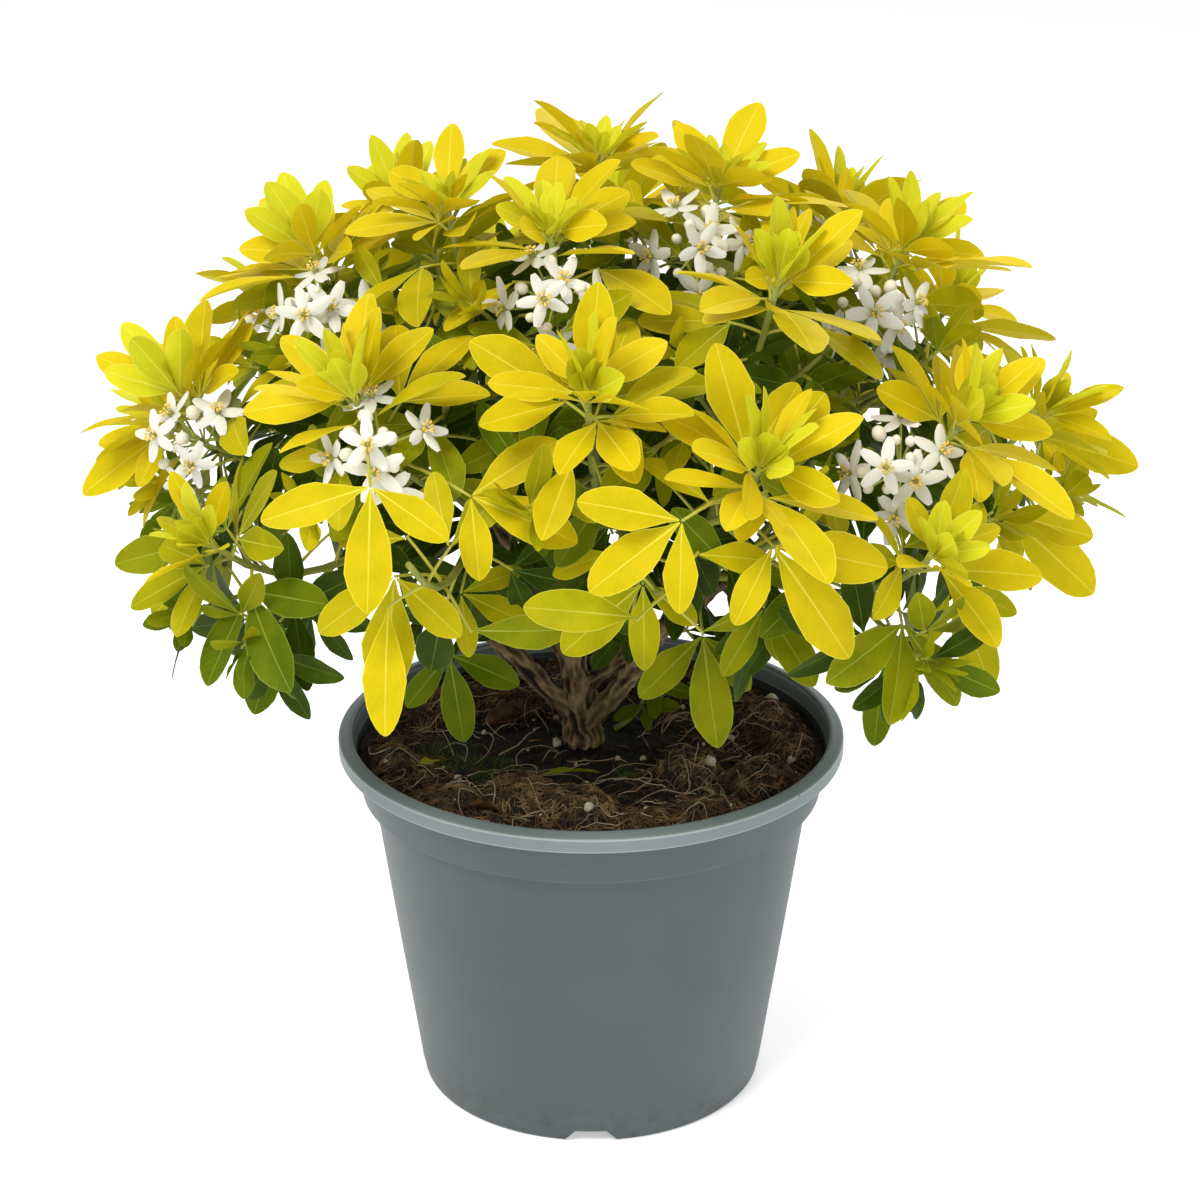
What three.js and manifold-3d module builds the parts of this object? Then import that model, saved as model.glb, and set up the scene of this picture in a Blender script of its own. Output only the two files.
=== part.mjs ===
// A golden-leaved Mexican orange blossom, a rounded evergreen shrub with leaves of three leaflets and
// white star flowers, growing in a round plastic nursery pot.
// Units are millimetres. +Z is up, the front of the plant faces -Y, and the origin is the centre of the
// pot's underside. Azimuths are degrees round the pot's axis: 0 is the front and 90 is the right, +X.
import * as THREE from "three";
import { mergeVertices } from "three/addons/utils/BufferGeometryUtils.js";
import Module from "manifold-3d";

const wasm = await Module();
wasm.setup();

// Driving dimensions of the pot
const POT = {
  height: 194,
  lipRadius: 130,
  lipWidth: 7,
  lipHeight: 9.5,
  lipFall: 2.8, // how far the top of the lip falls towards its outer edge
  collarTopRadius: 123,
  collarFootRadius: 118.5,
  collarFoot: 162,
  wallTopRadius: 112.5,
  footRadius: 89,
  wall: 2.2,
  segments: 40,
};
const NOTCH = { count: 4, footWidth: 28, topWidth: 16, height: 6.5, inner: 42, drainRadius: 5 };
const SEAT_GAP = 0.3; // clearance between solids that touch on the real plant

// Driving dimensions of the compost: its level and the size of its lumps
const COMPOST = { level: 182, lump: 2.6, rings: 4, patchRadius: 38 };

// Driving dimensions of the trunk, which leans a little to the left
const TRUNK = {
  foot: new THREE.Vector3(-4, 6, COMPOST.level + SEAT_GAP),
  fork: new THREE.Vector3(-11, 8, 243),
  footRadius: 11.5,
  waistRadius: 9.2,
  forkRadius: 6.5,
  flare: 9, // height over which the root flare dies out
};

// Each bough leaves the trunk at a share of its height and ends at an azimuth, a reach and a height.
// rise is the height of the bend above the start, as a share of the whole rise.
const BOUGHS = [
  { name: "bough_left", azimuth: -84, leaves: 0.2, reach: 84, height: 290, radius: 5.2, rise: 0.55 },
  { name: "bough_front_left", azimuth: -48, leaves: 0.8, reach: 62, height: 322, radius: 4.6, rise: 0.6 },
  { name: "bough_front", azimuth: 5, leaves: 0.9, reach: 52, height: 330, radius: 4.6, rise: 0.7 },
  { name: "bough_front_right", azimuth: 38, leaves: 0.12, reach: 78, height: 296, radius: 4.4, rise: 0.5 },
  { name: "bough_right", azimuth: 82, leaves: 0.5, reach: 88, height: 300, radius: 4.8, rise: 0.5 },
  { name: "bough_back_right", azimuth: 128, leaves: 0.65, reach: 84, height: 300, radius: 4.6, rise: 0.5 },
  { name: "bough_back", azimuth: 176, leaves: 0.4, reach: 82, height: 304, radius: 4.8, rise: 0.5 },
  { name: "bough_back_left", azimuth: -130, leaves: 0.7, reach: 84, height: 300, radius: 4.6, rise: 0.5 },
  { name: "leader", azimuth: 100, leaves: 1, reach: 10, height: 372, radius: 5, rise: 0.5 },
];
const BOUGH_TIP = 0.78; // radius at a bough's tip as a share of its radius at the trunk

// The dome on which the shoots end. Its reach falls away above the middle height, and it stands a
// little to the right of the pot's axis.
const DOME = { reach: 226, shift: 8, middle: 312, rise: 172 };

// The shoots that carry the masses of foliage, in tiers from the top down, each on a bough's tip.
// height is the shoot tip's, and turn rolls its leaf pairs round the stem.
const MASSES = [
  { name: "top", on: "leader", azimuth: -173, height: 482, seed: 1, turn: 15 },
  { name: "crown_front", on: "bough_front", azimuth: -20, height: 474, seed: 2, turn: 30 },
  { name: "crown_left", on: "bough_front_left", azimuth: -72, height: 473, seed: 3, turn: 150 },
  { name: "crown_right", on: "leader", azimuth: 86, height: 479, seed: 4, turn: 165 },
  { name: "crown_back_right", on: "leader", azimuth: 134, height: 430, seed: 5, turn: 60 },
  { name: "crown_back_left", on: "bough_back_left", azimuth: -140, height: 430, seed: 6, turn: 75 },
  { name: "shoulder_left", on: "bough_left", azimuth: -87, height: 446, seed: 7, turn: 30 },
  { name: "shoulder_right", on: "bough_front_right", azimuth: 40, height: 457, seed: 8, turn: 150 },
  { name: "shoulder_far_right", on: "bough_right", azimuth: 92, height: 444, seed: 9, turn: 150 },
  { name: "shoulder_back", on: "bough_back", azimuth: 178, height: 415, seed: 10, turn: 30 },
  { name: "front", on: "bough_front", azimuth: -3, height: 427, seed: 11, turn: 75 },
  { name: "front_left", on: "bough_front_left", azimuth: -39, height: 416, seed: 12, turn: 75 },
  { name: "front_right", on: "bough_front", azimuth: 20, height: 399, seed: 13, turn: 0 },
  { name: "side_left", on: "bough_left", azimuth: -81, height: 381, seed: 33, turn: 45 },
  { name: "brow_right", on: "bough_front_right", azimuth: 56, height: 396, seed: 15, turn: 0 },
  { name: "side_right", on: "bough_right", azimuth: 82, height: 372, seed: 16, turn: 120 },
  { name: "side_back_right", on: "bough_back_right", azimuth: 120, height: 386, seed: 17, turn: 105 },
  { name: "back_right", on: "bough_back_right", azimuth: 154, height: 366, seed: 18, turn: 120 },
  { name: "back_left", on: "bough_back", azimuth: -164, height: 370, seed: 19, turn: 150 },
  { name: "side_back_left", on: "bough_back_left", azimuth: -122, height: 390, seed: 20, turn: 165 },
  { name: "skirt_left", on: "bough_left", azimuth: -55, height: 342, seed: 21, turn: 135 },
  { name: "skirt_front_left", on: "bough_front_left", azimuth: -24, height: 361, seed: 22, turn: 45 },
  { name: "skirt_front_right", on: "bough_front", azimuth: 8, height: 364, seed: 23, turn: 45 },
  { name: "skirt_right", on: "bough_front_right", azimuth: 41, height: 350, seed: 24, turn: 60 },
  { name: "skirt_back_right", on: "bough_right", azimuth: 102, height: 322, seed: 25, turn: 135 },
  { name: "skirt_back", on: "bough_back", azimuth: 160, height: 320, seed: 26, turn: 15 },
  { name: "skirt_back_left", on: "bough_back_left", azimuth: -100, height: 345, seed: 27, turn: 135 },
];

// The open flowers on a mass, and the azimuth towards which they stand out
const BLOOMS = {
  crown_front: { flowers: 5, side: -10 },
  crown_right: { flowers: 5, side: 0 },
  crown_back_right: { flowers: 4, side: 170 },
  shoulder_left: { flowers: 5, side: -20 },
  shoulder_far_right: { flowers: 5, side: -5 },
  shoulder_back: { flowers: 4, side: 200 },
  front_left: { flowers: 5, side: -10 },
  side_left: { flowers: 4, side: -50 },
  brow_right: { flowers: 5, side: -20 },
  back_right: { flowers: 4, side: 140 },
  side_back_left: { flowers: 4, side: -120 },
};

// No leaf hangs below the crown's hem, which climbs towards the front and the sides and is cut higher
// over the trunk.
const HEM = {
  lowest: 242,
  atAxis: 196,
  climb: 0.4,
  gapMiddle: -5,
  gapHalf: 55,
  gapSoft: 30,
  gapRise: 45,
  sideFrom: 120,
  sideClimb: 0.32,
};

// A shoot tilts outwards from upright, more the further out and the lower it ends.
const SHOOT = {
  tiltAtReach: 36,
  tiltLow: 22,
  baseRadius: 2.8,
  tipRadius: 2.3,
  upturn: 0.5, // reach of the curve's last handle, as a share of the stem's length
  sides: 4,
  steps: 7,
};

// Leaf pairs from the shoot's tip down: down is the distance below the tip, spread the angle between
// stalk and stem, blade the middle leaflet's length, and droop the bend from stalk to blade.
const PAIRS = [
  { down: 4, spread: 38, stalk: 8, blade: 44, droop: 0 },
  { down: 12, spread: 54, stalk: 12, blade: 56, droop: 8 },
  { down: 26, spread: 72, stalk: 20, blade: 62, droop: 22 },
  { down: 54, spread: 80, stalk: 28, blade: 59, droop: 42 },
];
const SIDE_PAIRS = [{ down: 4, spread: 52, stalk: 14, blade: 50, droop: 25 }];
const LEAF = {
  width: 0.5, // of its length
  thick: 3, // at the hub, falling to nothing at the rim
  belly: 0.58, // where along its length it is widest
  arch: 0.1, // fall of its tip as a share of its length
  sideShare: 0.86, // length of a side leaflet as a share of the middle one
  sideAngle: 52,
  hub: 2, // reach of the notches between the leaflets and beside the stalk
  hubAngles: [-120, -26, 26, 120],
  sink: 1.6, // how far the stalk's root lies past the stem's middle
  stub: 0.15, // share of the stalk that has to stay clear of the mass's other leaves
  apart: 0.1,
  sizes: [1, 0.82, 0.66], // a leaflet that doesn't fit is tried smaller, and then left out
};
// The side twig: how far below the tip it leaves, its length and its angle to the stem
const SIDE_TWIG = { down: 74, length: 44, angle: 55, radius: 1.9 };
const BLOSSOM = {
  down: 40,
  stalk: 24,
  pedicel: 22,
  step: 1.6, // between the feet of the flowers' own stalks
  fan: 58,
  face: 0.45, // how far the outer flowers turn to face along the stalk
  rise: 30, // how far the stalk rises from the level, in degrees
  petals: 5,
  radius: 14,
  depth: 4,
  waist: 0.42, // depth of the cuts between the petals
  neck: 2,
  stalkRadius: 2,
  sink: 0.7, // how far a flower's root lies past the stalk's middle
};

const COLOURS = {
  pot: { color: 0x67767a, roughness: 0.55 },
  compost: { color: 0x33251a, roughness: 0.95 },
  bark: { color: 0x6a543b, roughness: 0.9 },
  foliage: { color: 0xc9bb12, roughness: 0.5 },
};

const radians = THREE.MathUtils.degToRad;

// A point at an azimuth, a reach from the pot's axis and a height
function polar(azimuth, reach, height) {
  const angle = radians(azimuth);
  return new THREE.Vector3(reach * Math.sin(angle), -reach * Math.cos(angle), height);
}

// A seeded chain of numbers from 0 to 1, the same on every run
const CHAIN = { spread: 7919, start: 12345, factor: 16807, modulus: 2147483647 };

function dice(seed) {
  let state = (seed * CHAIN.spread + CHAIN.start) % CHAIN.modulus;
  const roll = () => {
    state = (state * CHAIN.factor) % CHAIN.modulus;
    return state / CHAIN.modulus;
  };
  roll();
  roll();
  return roll;
}

// A vector turned about an axis by an angle in degrees
function turned(vector, axis, angle) {
  return vector.clone().applyAxisAngle(axis, radians(angle));
}

// The closed solid of a three.js geometry
function solidOf(geometry) {
  const bare = new THREE.BufferGeometry();
  bare.setAttribute("position", geometry.getAttribute("position"));
  bare.setIndex(geometry.index);
  const merged = mergeVertices(bare, 1e-4);
  const mesh = new wasm.Mesh({
    numProp: 3,
    vertProperties: merged.attributes.position.array,
    triVerts: new Uint32Array(merged.index.array),
  });
  return new wasm.Manifold(mesh);
}

// The three.js mesh of a solid
function meshOf(solid, name, finish) {
  const raw = solid.getMesh();
  const geometry = new THREE.BufferGeometry();
  geometry.setAttribute("position", new THREE.BufferAttribute(new Float32Array(raw.vertProperties), 3));
  geometry.setIndex(new THREE.BufferAttribute(new Uint32Array(raw.triVerts), 1));
  geometry.computeVertexNormals();
  const material = new THREE.MeshStandardMaterial({ metalness: 0, ...COLOURS[finish] });
  const mesh = new THREE.Mesh(geometry, material);
  mesh.name = name;
  return mesh;
}

// The largest body of a solid, without loose scraps and without hollows sealed by the fusing
function mainBody(solid) {
  const bodies = solid.decompose();
  return bodies.reduce((best, body) => (body.volume() > best.volume() ? body : best));
}

// A solid of revolution about Z, from [radius, height] points that start and end on the axis
function revolved(profile, segments) {
  const points = profile.map(([radius, height]) => new THREE.Vector2(radius, height));
  const geometry = new THREE.LatheGeometry(points, segments);
  geometry.rotateX(Math.PI / 2);
  return solidOf(geometry);
}

// A tapering limb: a cylinder bent along a curve. radiusAt gives the radius at a share of the length.
function limb(curve, radiusAt, sides, steps) {
  const geometry = new THREE.CylinderGeometry(1, 1, 1, sides, steps);
  const spots = geometry.getAttribute("position");
  const frames = framesAlong(curve, steps);
  for (let i = 0; i < spots.count; i++) {
    const share = spots.getY(i) + 0.5;
    const frame = frames[Math.round(share * steps)];
    const radius = radiusAt(share);
    const spot = frame.point
      .clone()
      .addScaledVector(frame.side, spots.getX(i) * radius)
      .addScaledVector(frame.up, -spots.getZ(i) * radius);
    spots.setXYZ(i, spot.x, spot.y, spot.z);
  }
  return solidOf(geometry);
}

// Frames that don't twist, at equal steps of a curve's parameter
function framesAlong(curve, steps) {
  const frames = [];
  let side = null;
  for (let i = 0; i <= steps; i++) {
    const point = curve.getPoint(i / steps);
    const tangent = curve.getTangent(i / steps);
    side = side ? side.clone() : sideOf(tangent);
    side.addScaledVector(tangent, -side.dot(tangent)).normalize();
    frames.push({ point, tangent, side, up: tangent.clone().cross(side) });
  }
  return frames;
}

// A level direction at right angles to a given one
function sideOf(direction) {
  const level = new THREE.Vector3(0, 0, 1).cross(direction);
  return level.lengthSq() > 1e-4 ? level.normalize() : new THREE.Vector3(1, 0, 0);
}

// The pot: a lathed shell with a lip, a collar, notches in its foot and drain holes in its floor
function cavityProfile(gap, top) {
  const inner = (radius) => radius - POT.wall - gap;
  const ledge = POT.collarFoot - POT.wall * 0.3 + gap;
  return [
    [0, POT.wall + gap],
    [inner(POT.footRadius), POT.wall + gap],
    [inner(POT.wallTopRadius), ledge],
    [inner(POT.collarFootRadius), ledge + 1.5],
    [inner(POT.collarTopRadius), top],
    [0, top],
  ];
}

function channels(spare) {
  const reach = POT.lipRadius - NOTCH.inner + spare;
  const outline = new THREE.Shape([
    new THREE.Vector2(-NOTCH.footWidth / 2 - spare, -spare - 1),
    new THREE.Vector2(NOTCH.footWidth / 2 + spare, -spare - 1),
    new THREE.Vector2(NOTCH.topWidth / 2 + spare, NOTCH.height + spare),
    new THREE.Vector2(-NOTCH.topWidth / 2 - spare, NOTCH.height + spare),
  ]);
  const cuts = [];
  for (let i = 0; i < NOTCH.count; i++) {
    const geometry = new THREE.ExtrudeGeometry(outline, { depth: reach, bevelEnabled: false });
    geometry.rotateX(Math.PI / 2);
    geometry.translate(0, -NOTCH.inner + spare, 0);
    geometry.rotateZ((i * 2 * Math.PI) / NOTCH.count);
    cuts.push(solidOf(geometry));
  }
  return wasm.Manifold.union(cuts);
}

function makePot() {
  const seam = 9;
  const seamRadius = POT.footRadius + (POT.wallTopRadius - POT.footRadius) * (seam / POT.collarFoot);
  const lipFoot = POT.height - POT.lipHeight;
  const outer = revolved(
    [
      [0, 0],
      [POT.footRadius - 2, 0],
      [POT.footRadius - 0.6, 1.5],
      [seamRadius - 0.7, seam - 0.7],
      [seamRadius, seam],
      [POT.wallTopRadius, POT.collarFoot - 1],
      [POT.collarFootRadius, POT.collarFoot + 0.5],
      [POT.collarTopRadius, lipFoot],
      [POT.lipRadius - 1, lipFoot],
      [POT.lipRadius, lipFoot + 1],
      [POT.lipRadius, POT.height - POT.lipFall - 1],
      [POT.lipRadius - 1.5, POT.height - POT.lipFall + 0.4],
      [POT.lipRadius - POT.lipWidth + 1.5, POT.height],
      [POT.lipRadius - POT.lipWidth, POT.height - 0.8],
      [0, POT.height - 0.8],
    ],
    POT.segments,
  );
  const mouth = POT.height + 1;
  const cavity = revolved(cavityProfile(0, mouth), POT.segments).subtract(channels(POT.wall));
  const drains = [];
  for (let i = 0; i < NOTCH.count; i++) {
    const drain = new THREE.CylinderGeometry(NOTCH.drainRadius, NOTCH.drainRadius, 20, 12);
    drain.rotateX(Math.PI / 2);
    drain.translate(0, -(NOTCH.inner + 16), NOTCH.height);
    drain.rotateZ((i * 2 * Math.PI) / NOTCH.count);
    drains.push(solidOf(drain));
  }
  return outer.subtract(cavity).subtract(channels(0)).subtract(wasm.Manifold.union(drains));
}

// The compost: it fills the pot, and its lumpy top has a flat patch under the trunk
function compostHeight(x, y) {
  const fromTrunk = Math.hypot(x - TRUNK.foot.x, y - TRUNK.foot.y);
  const calm = THREE.MathUtils.smoothstep(fromTrunk, COMPOST.patchRadius, COMPOST.patchRadius + 14);
  const waves = Math.sin(x * 0.11 + 1) * Math.cos(y * 0.13) + 0.7 * Math.sin(x * 0.05 - y * 0.21 + 2);
  return COMPOST.level + calm * COMPOST.lump * (waves + 0.25);
}

function makeCompost() {
  const top = COMPOST.level;
  const sides = cavityProfile(SEAT_GAP, top + 6);
  const rim = sides[4];
  const profile = sides.slice(0, 4).concat([[rim[0] - 2, top]]);
  for (let i = 1; i <= COMPOST.rings; i++) {
    profile.push([(rim[0] - 2) * (1 - i / COMPOST.rings), top]);
  }
  const points = profile.map(([radius, height]) => new THREE.Vector2(radius, height));
  const geometry = new THREE.LatheGeometry(points, POT.segments);
  geometry.rotateX(Math.PI / 2);
  const spots = geometry.getAttribute("position");
  for (let i = 0; i < spots.count; i++) {
    if (Math.abs(spots.getZ(i) - top) < 1e-3) {
      spots.setZ(i, compostHeight(spots.getX(i), spots.getY(i)));
    }
  }
  return solidOf(geometry).subtract(channels(POT.wall + SEAT_GAP));
}

// The trunk, and a copy of it that is fatter by the seat gap, which cuts the boughs' feet
function trunkCurve() {
  const middle = TRUNK.foot.clone().lerp(TRUNK.fork, 0.5).add(new THREE.Vector3(2, 0, 0));
  return new THREE.QuadraticBezierCurve3(TRUNK.foot, middle, TRUNK.fork);
}

function trunkRadius(share) {
  const height = share * (TRUNK.fork.z - TRUNK.foot.z);
  const flare = (TRUNK.footRadius - TRUNK.waistRadius) * Math.exp((-2 * height) / TRUNK.flare);
  return THREE.MathUtils.lerp(TRUNK.waistRadius, TRUNK.forkRadius, share ** 1.6) + flare;
}

function makeTrunk(spare) {
  const whole = limb(trunkCurve(), (share) => trunkRadius(share) + spare, 12, 7);
  return whole.trimByPlane([0, 0, 1], TRUNK.foot.z);
}

// A bough's curve, from inside the trunk to its tip
function boughCurve(bough) {
  const start = trunkCurve().getPoint(Math.min(bough.leaves, 0.98));
  const tip = polar(bough.azimuth, bough.reach, bough.height);
  const bend = start.clone().lerp(tip, 0.5);
  bend.z = THREE.MathUtils.lerp(start.z, tip.z, bough.rise * 0.8);
  return new THREE.QuadraticBezierCurve3(start, bend, tip);
}

function makeBough(bough, cutter, spare = 0) {
  const radiusAt = (share) => bough.radius * THREE.MathUtils.lerp(1, BOUGH_TIP, share) + spare;
  return mainBody(limb(boughCurve(bough), radiusAt, 6, 5).subtract(cutter));
}

// Where a mass's shoot ends: the dome's reach at that height
function shootTip(mass) {
  const above = Math.max(0, mass.height - DOME.middle) / DOME.rise;
  const reach = DOME.reach * Math.sqrt(Math.max(0.01, 1 - above * above));
  return polar(mass.azimuth, reach, mass.height).add(new THREE.Vector3(DOME.shift, 0, 0));
}

// The way a shoot grows at its tip: upright at the crown, leaning out at the sides and the skirt
function shootDirection(mass) {
  const tip = shootTip(mass);
  const reach = Math.hypot(tip.x - DOME.shift, tip.y);
  const low = THREE.MathUtils.clamp((DOME.middle + 70 - mass.height) / 70, 0, 1);
  const tilt = radians((SHOOT.tiltAtReach * reach) / DOME.reach + SHOOT.tiltLow * low);
  return polar(mass.azimuth, Math.sin(tilt), Math.cos(tilt));
}

// A mass's stem, from its foot beside the bough's axis to the tip of its shoot
function stemCurve(mass, bough, count, angle) {
  const end = boughCurve(bough);
  const way = end.getTangent(1);
  const side = sideOf(way);
  const up = way.clone().cross(side);
  const offset = count > 1 ? (SHOOT.baseRadius + 0.4) / Math.sin(Math.PI / count) : 0;
  const foot = end
    .getPoint(1)
    .addScaledVector(way, SEAT_GAP + 0.2)
    .addScaledVector(side, offset * Math.cos(angle))
    .addScaledVector(up, offset * Math.sin(angle));
  const tip = shootTip(mass);
  const length = foot.distanceTo(tip);
  const leave = foot.clone().addScaledVector(way, length * 0.25);
  const arrive = tip.clone().addScaledVector(shootDirection(mass), -length * SHOOT.upturn);
  return new THREE.CubicBezierCurve3(foot, leave, arrive, tip);
}

// Each mass's stem curve. The feet on one bough tip stand evenly round it, each as near as can be to the
// side on which its shoot lies.
function stemCurves() {
  const curves = new Map();
  for (const bough of BOUGHS) {
    const end = boughCurve(bough);
    const way = end.getTangent(1);
    const side = sideOf(way);
    const up = way.clone().cross(side);
    const seated = MASSES.filter((mass) => mass.on === bough.name).map((mass) => {
      const out = shootTip(mass).sub(end.getPoint(1));
      return { mass, bearing: Math.atan2(out.dot(up), out.dot(side)) };
    });
    seated.sort((a, b) => a.bearing - b.bearing);
    const step = (2 * Math.PI) / seated.length;
    const first = seated.reduce((sum, seat, rank) => sum + seat.bearing - rank * step, 0) / seated.length;
    seated.forEach(({ mass }, rank) => {
      curves.set(mass.name, stemCurve(mass, bough, seated.length, first + rank * step));
    });
  }
  return curves;
}

// A point on a curve and its tangent, at a distance below its end
function below(curve, length, down) {
  const share = Math.max(0, 1 - down / length);
  return { point: curve.getPointAt(share), tangent: curve.getTangentAt(share) };
}

// A side twig's curve, from the stem out and then up along it
function twigCurve(stem, length, turn) {
  const { point, tangent } = below(stem, length, Math.min(SIDE_TWIG.down, length * 0.8));
  const side = turned(sideOf(tangent), tangent, turn);
  const way = turned(tangent, tangent.clone().cross(side).normalize(), SIDE_TWIG.angle);
  const bend = point.clone().addScaledVector(way, SIDE_TWIG.length * 0.5);
  const end = bend.clone().addScaledVector(way.lerp(tangent, 0.4).normalize(), SIDE_TWIG.length * 0.5);
  return new THREE.QuadraticBezierCurve3(point, bend, end);
}

// One leaf: the root of its stalk inside the stem, and the frame of the three leaflets at its end
function leafPlan(point, tangent, roll, pair, roller) {
  const jitter = () => roller() - 0.5;
  const side = turned(sideOf(tangent), tangent, roll);
  const axis = tangent.clone().cross(side).normalize();
  const way = turned(tangent, axis, pair.spread + 14 * jitter());
  const hinge = way.clone().cross(tangent).normalize();
  const hub = point.clone().addScaledVector(way, pair.stalk * (1 + 0.3 * jitter()));
  const middle = turned(way, hinge, -(pair.droop + 12 * jitter()));
  const face = hinge.clone().cross(middle).normalize();
  const root = point.clone().addScaledVector(way, -LEAF.sink);
  const blade = pair.blade * (1 + 0.22 * jitter());
  const leaflets = [-1, 0, 1].map((hand) => ({
    angle: hand * LEAF.sideAngle + 8 * jitter(),
    length: blade * (hand ? LEAF.sideShare : 1),
  }));
  return { root, hub, middle, face, leaflets };
}

// A closed fan: a cone whose rim is drawn out to the given spots, with its two middles pulled to a hub.
// The spots run clockwise round the way, which points from the cone's tip to its base.
function fanSolid(rim, front, back) {
  const geometry = new THREE.ConeGeometry(1, 1, rim.length, 1);
  const spots = geometry.getAttribute("position");
  for (let i = 0; i < spots.count; i++) {
    const [x, y, z] = [spots.getX(i), spots.getY(i), spots.getZ(i)];
    const turn = Math.round((Math.atan2(x, z) / (2 * Math.PI)) * rim.length);
    const onAxis = Math.hypot(x, z) < 0.5;
    const spot = !onAxis ? rim[(turn + rim.length) % rim.length] : y > 0 ? back : front;
    spots.setXYZ(i, spot.x, spot.y, spot.z);
  }
  return solidOf(geometry);
}

// A leaf as one thin fan of a stalk and leaflets, each widest past its middle, with a tip that arches down
function leafSolid(plan, leaflets) {
  const across = plan.middle.clone().cross(plan.face);
  const spotAt = (angle, along, aside, lift) => {
    const way = turned(plan.middle, plan.face, -angle);
    const beside = turned(across, plan.face, -angle);
    return plan.hub
      .clone()
      .addScaledVector(way, along)
      .addScaledVector(beside, aside)
      .addScaledVector(plan.face, lift);
  };
  const corners = LEAF.hubAngles.map((angle) => ({ angle, spot: spotAt(angle, LEAF.hub, 0, 0) }));
  corners.push({ angle: 180, spot: plan.root });
  for (const { angle, length } of leaflets) {
    const half = (length * LEAF.width) / 2;
    const belly = length * LEAF.belly;
    const open = THREE.MathUtils.radToDeg(Math.atan2(half, belly));
    corners.push({ angle: angle - open, spot: spotAt(angle, belly, -half, 0) });
    corners.push({ angle, spot: spotAt(angle, length, 0, -length * LEAF.arch) });
    corners.push({ angle: angle + open, spot: spotAt(angle, belly, half, 0) });
  }
  corners.sort((a, b) => a.angle - b.angle);
  const front = plan.hub.clone().addScaledVector(plan.face, LEAF.thick / 2);
  const back = plan.hub.clone().addScaledVector(plan.face, -LEAF.thick / 2);
  return fanSolid(corners.map((corner) => corner.spot), front, back);
}

// A three-sided stalk that tapers to a point
function stalkSolid(from, to, radius) {
  const length = from.distanceTo(to);
  const way = to.clone().sub(from).normalize();
  const side = sideOf(way);
  const geometry = new THREE.ConeGeometry(radius, length, 3, 1);
  geometry.translate(0, length / 2, 0);
  geometry.applyMatrix4(new THREE.Matrix4().makeBasis(side, way, side.clone().cross(way)));
  geometry.translate(from.x, from.y, from.z);
  return solidOf(geometry);
}

// A flower on its own stalk: a shallow star that opens along a way, as one fan. The stalk's root lies
// behind it, and the star is turned so that the stalk comes up between two petals.
function flowerSolid(root, centre, way) {
  const behind = root.clone().sub(centre);
  const lean = behind.addScaledVector(way, -behind.dot(way)).normalize();
  const across = way.clone().cross(lean);
  const spotAt = (angle, reach) =>
    centre
      .clone()
      .addScaledVector(across, reach * Math.sin(radians(angle)))
      .addScaledVector(lean, reach * Math.cos(radians(angle)))
      .addScaledVector(way, (reach / BLOSSOM.radius) * BLOSSOM.depth);
  const half = 180 / BLOSSOM.petals;
  const rim = [root, spotAt(half * 0.4, BLOSSOM.neck)];
  for (let i = 0; i < BLOSSOM.petals; i++) {
    if (i) rim.push(spotAt(2 * i * half, BLOSSOM.radius * BLOSSOM.waist));
    rim.push(spotAt((2 * i + 1) * half, BLOSSOM.radius));
  }
  rim.push(spotAt(-half * 0.4, BLOSSOM.neck));
  const front = centre.clone().addScaledVector(way, BLOSSOM.depth * 0.5);
  return fanSolid(rim, front, centre.clone().addScaledVector(way, -BLOSSOM.depth * 0.5));
}

// The corner points of a solid
function cornersOf(solid) {
  const raw = solid.getMesh();
  const corners = [];
  for (let i = 0; i < raw.numVert; i++) {
    corners.push(new THREE.Vector3().fromArray(raw.vertProperties, i * raw.numProp));
  }
  return corners;
}

// The height of the crown's hem over a spot
function hemHeight(x, y) {
  const aside = Math.abs(x - HEM.gapMiddle);
  const open = 1 - THREE.MathUtils.smoothstep(aside, HEM.gapHalf, HEM.gapHalf + HEM.gapSoft);
  const atSide = HEM.sideClimb * Math.max(0, Math.abs(x - DOME.shift) - HEM.sideFrom);
  return Math.max(HEM.lowest, HEM.atAxis + HEM.gapRise * open - HEM.climb * y) + atSide;
}

// A mass keeps to the space that is nearer to its own shoot tip than to any other
function keepsToOwnSpace(solid, home, others) {
  return cornersOf(solid).every((corner) =>
    others.every((other) => {
      const apart = home.distanceTo(other);
      const inside = (corner.distanceToSquared(other) - corner.distanceToSquared(home)) / (2 * apart);
      return inside > SEAT_GAP / 2 + 0.05;
    }),
  );
}

// A mass's stem, which tapers a little to its tip
function stemSolid(curve) {
  const radiusAt = (share) => THREE.MathUtils.lerp(SHOOT.baseRadius, SHOOT.tipRadius, share);
  return limb(curve, radiusAt, SHOOT.sides, SHOOT.steps);
}

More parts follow.
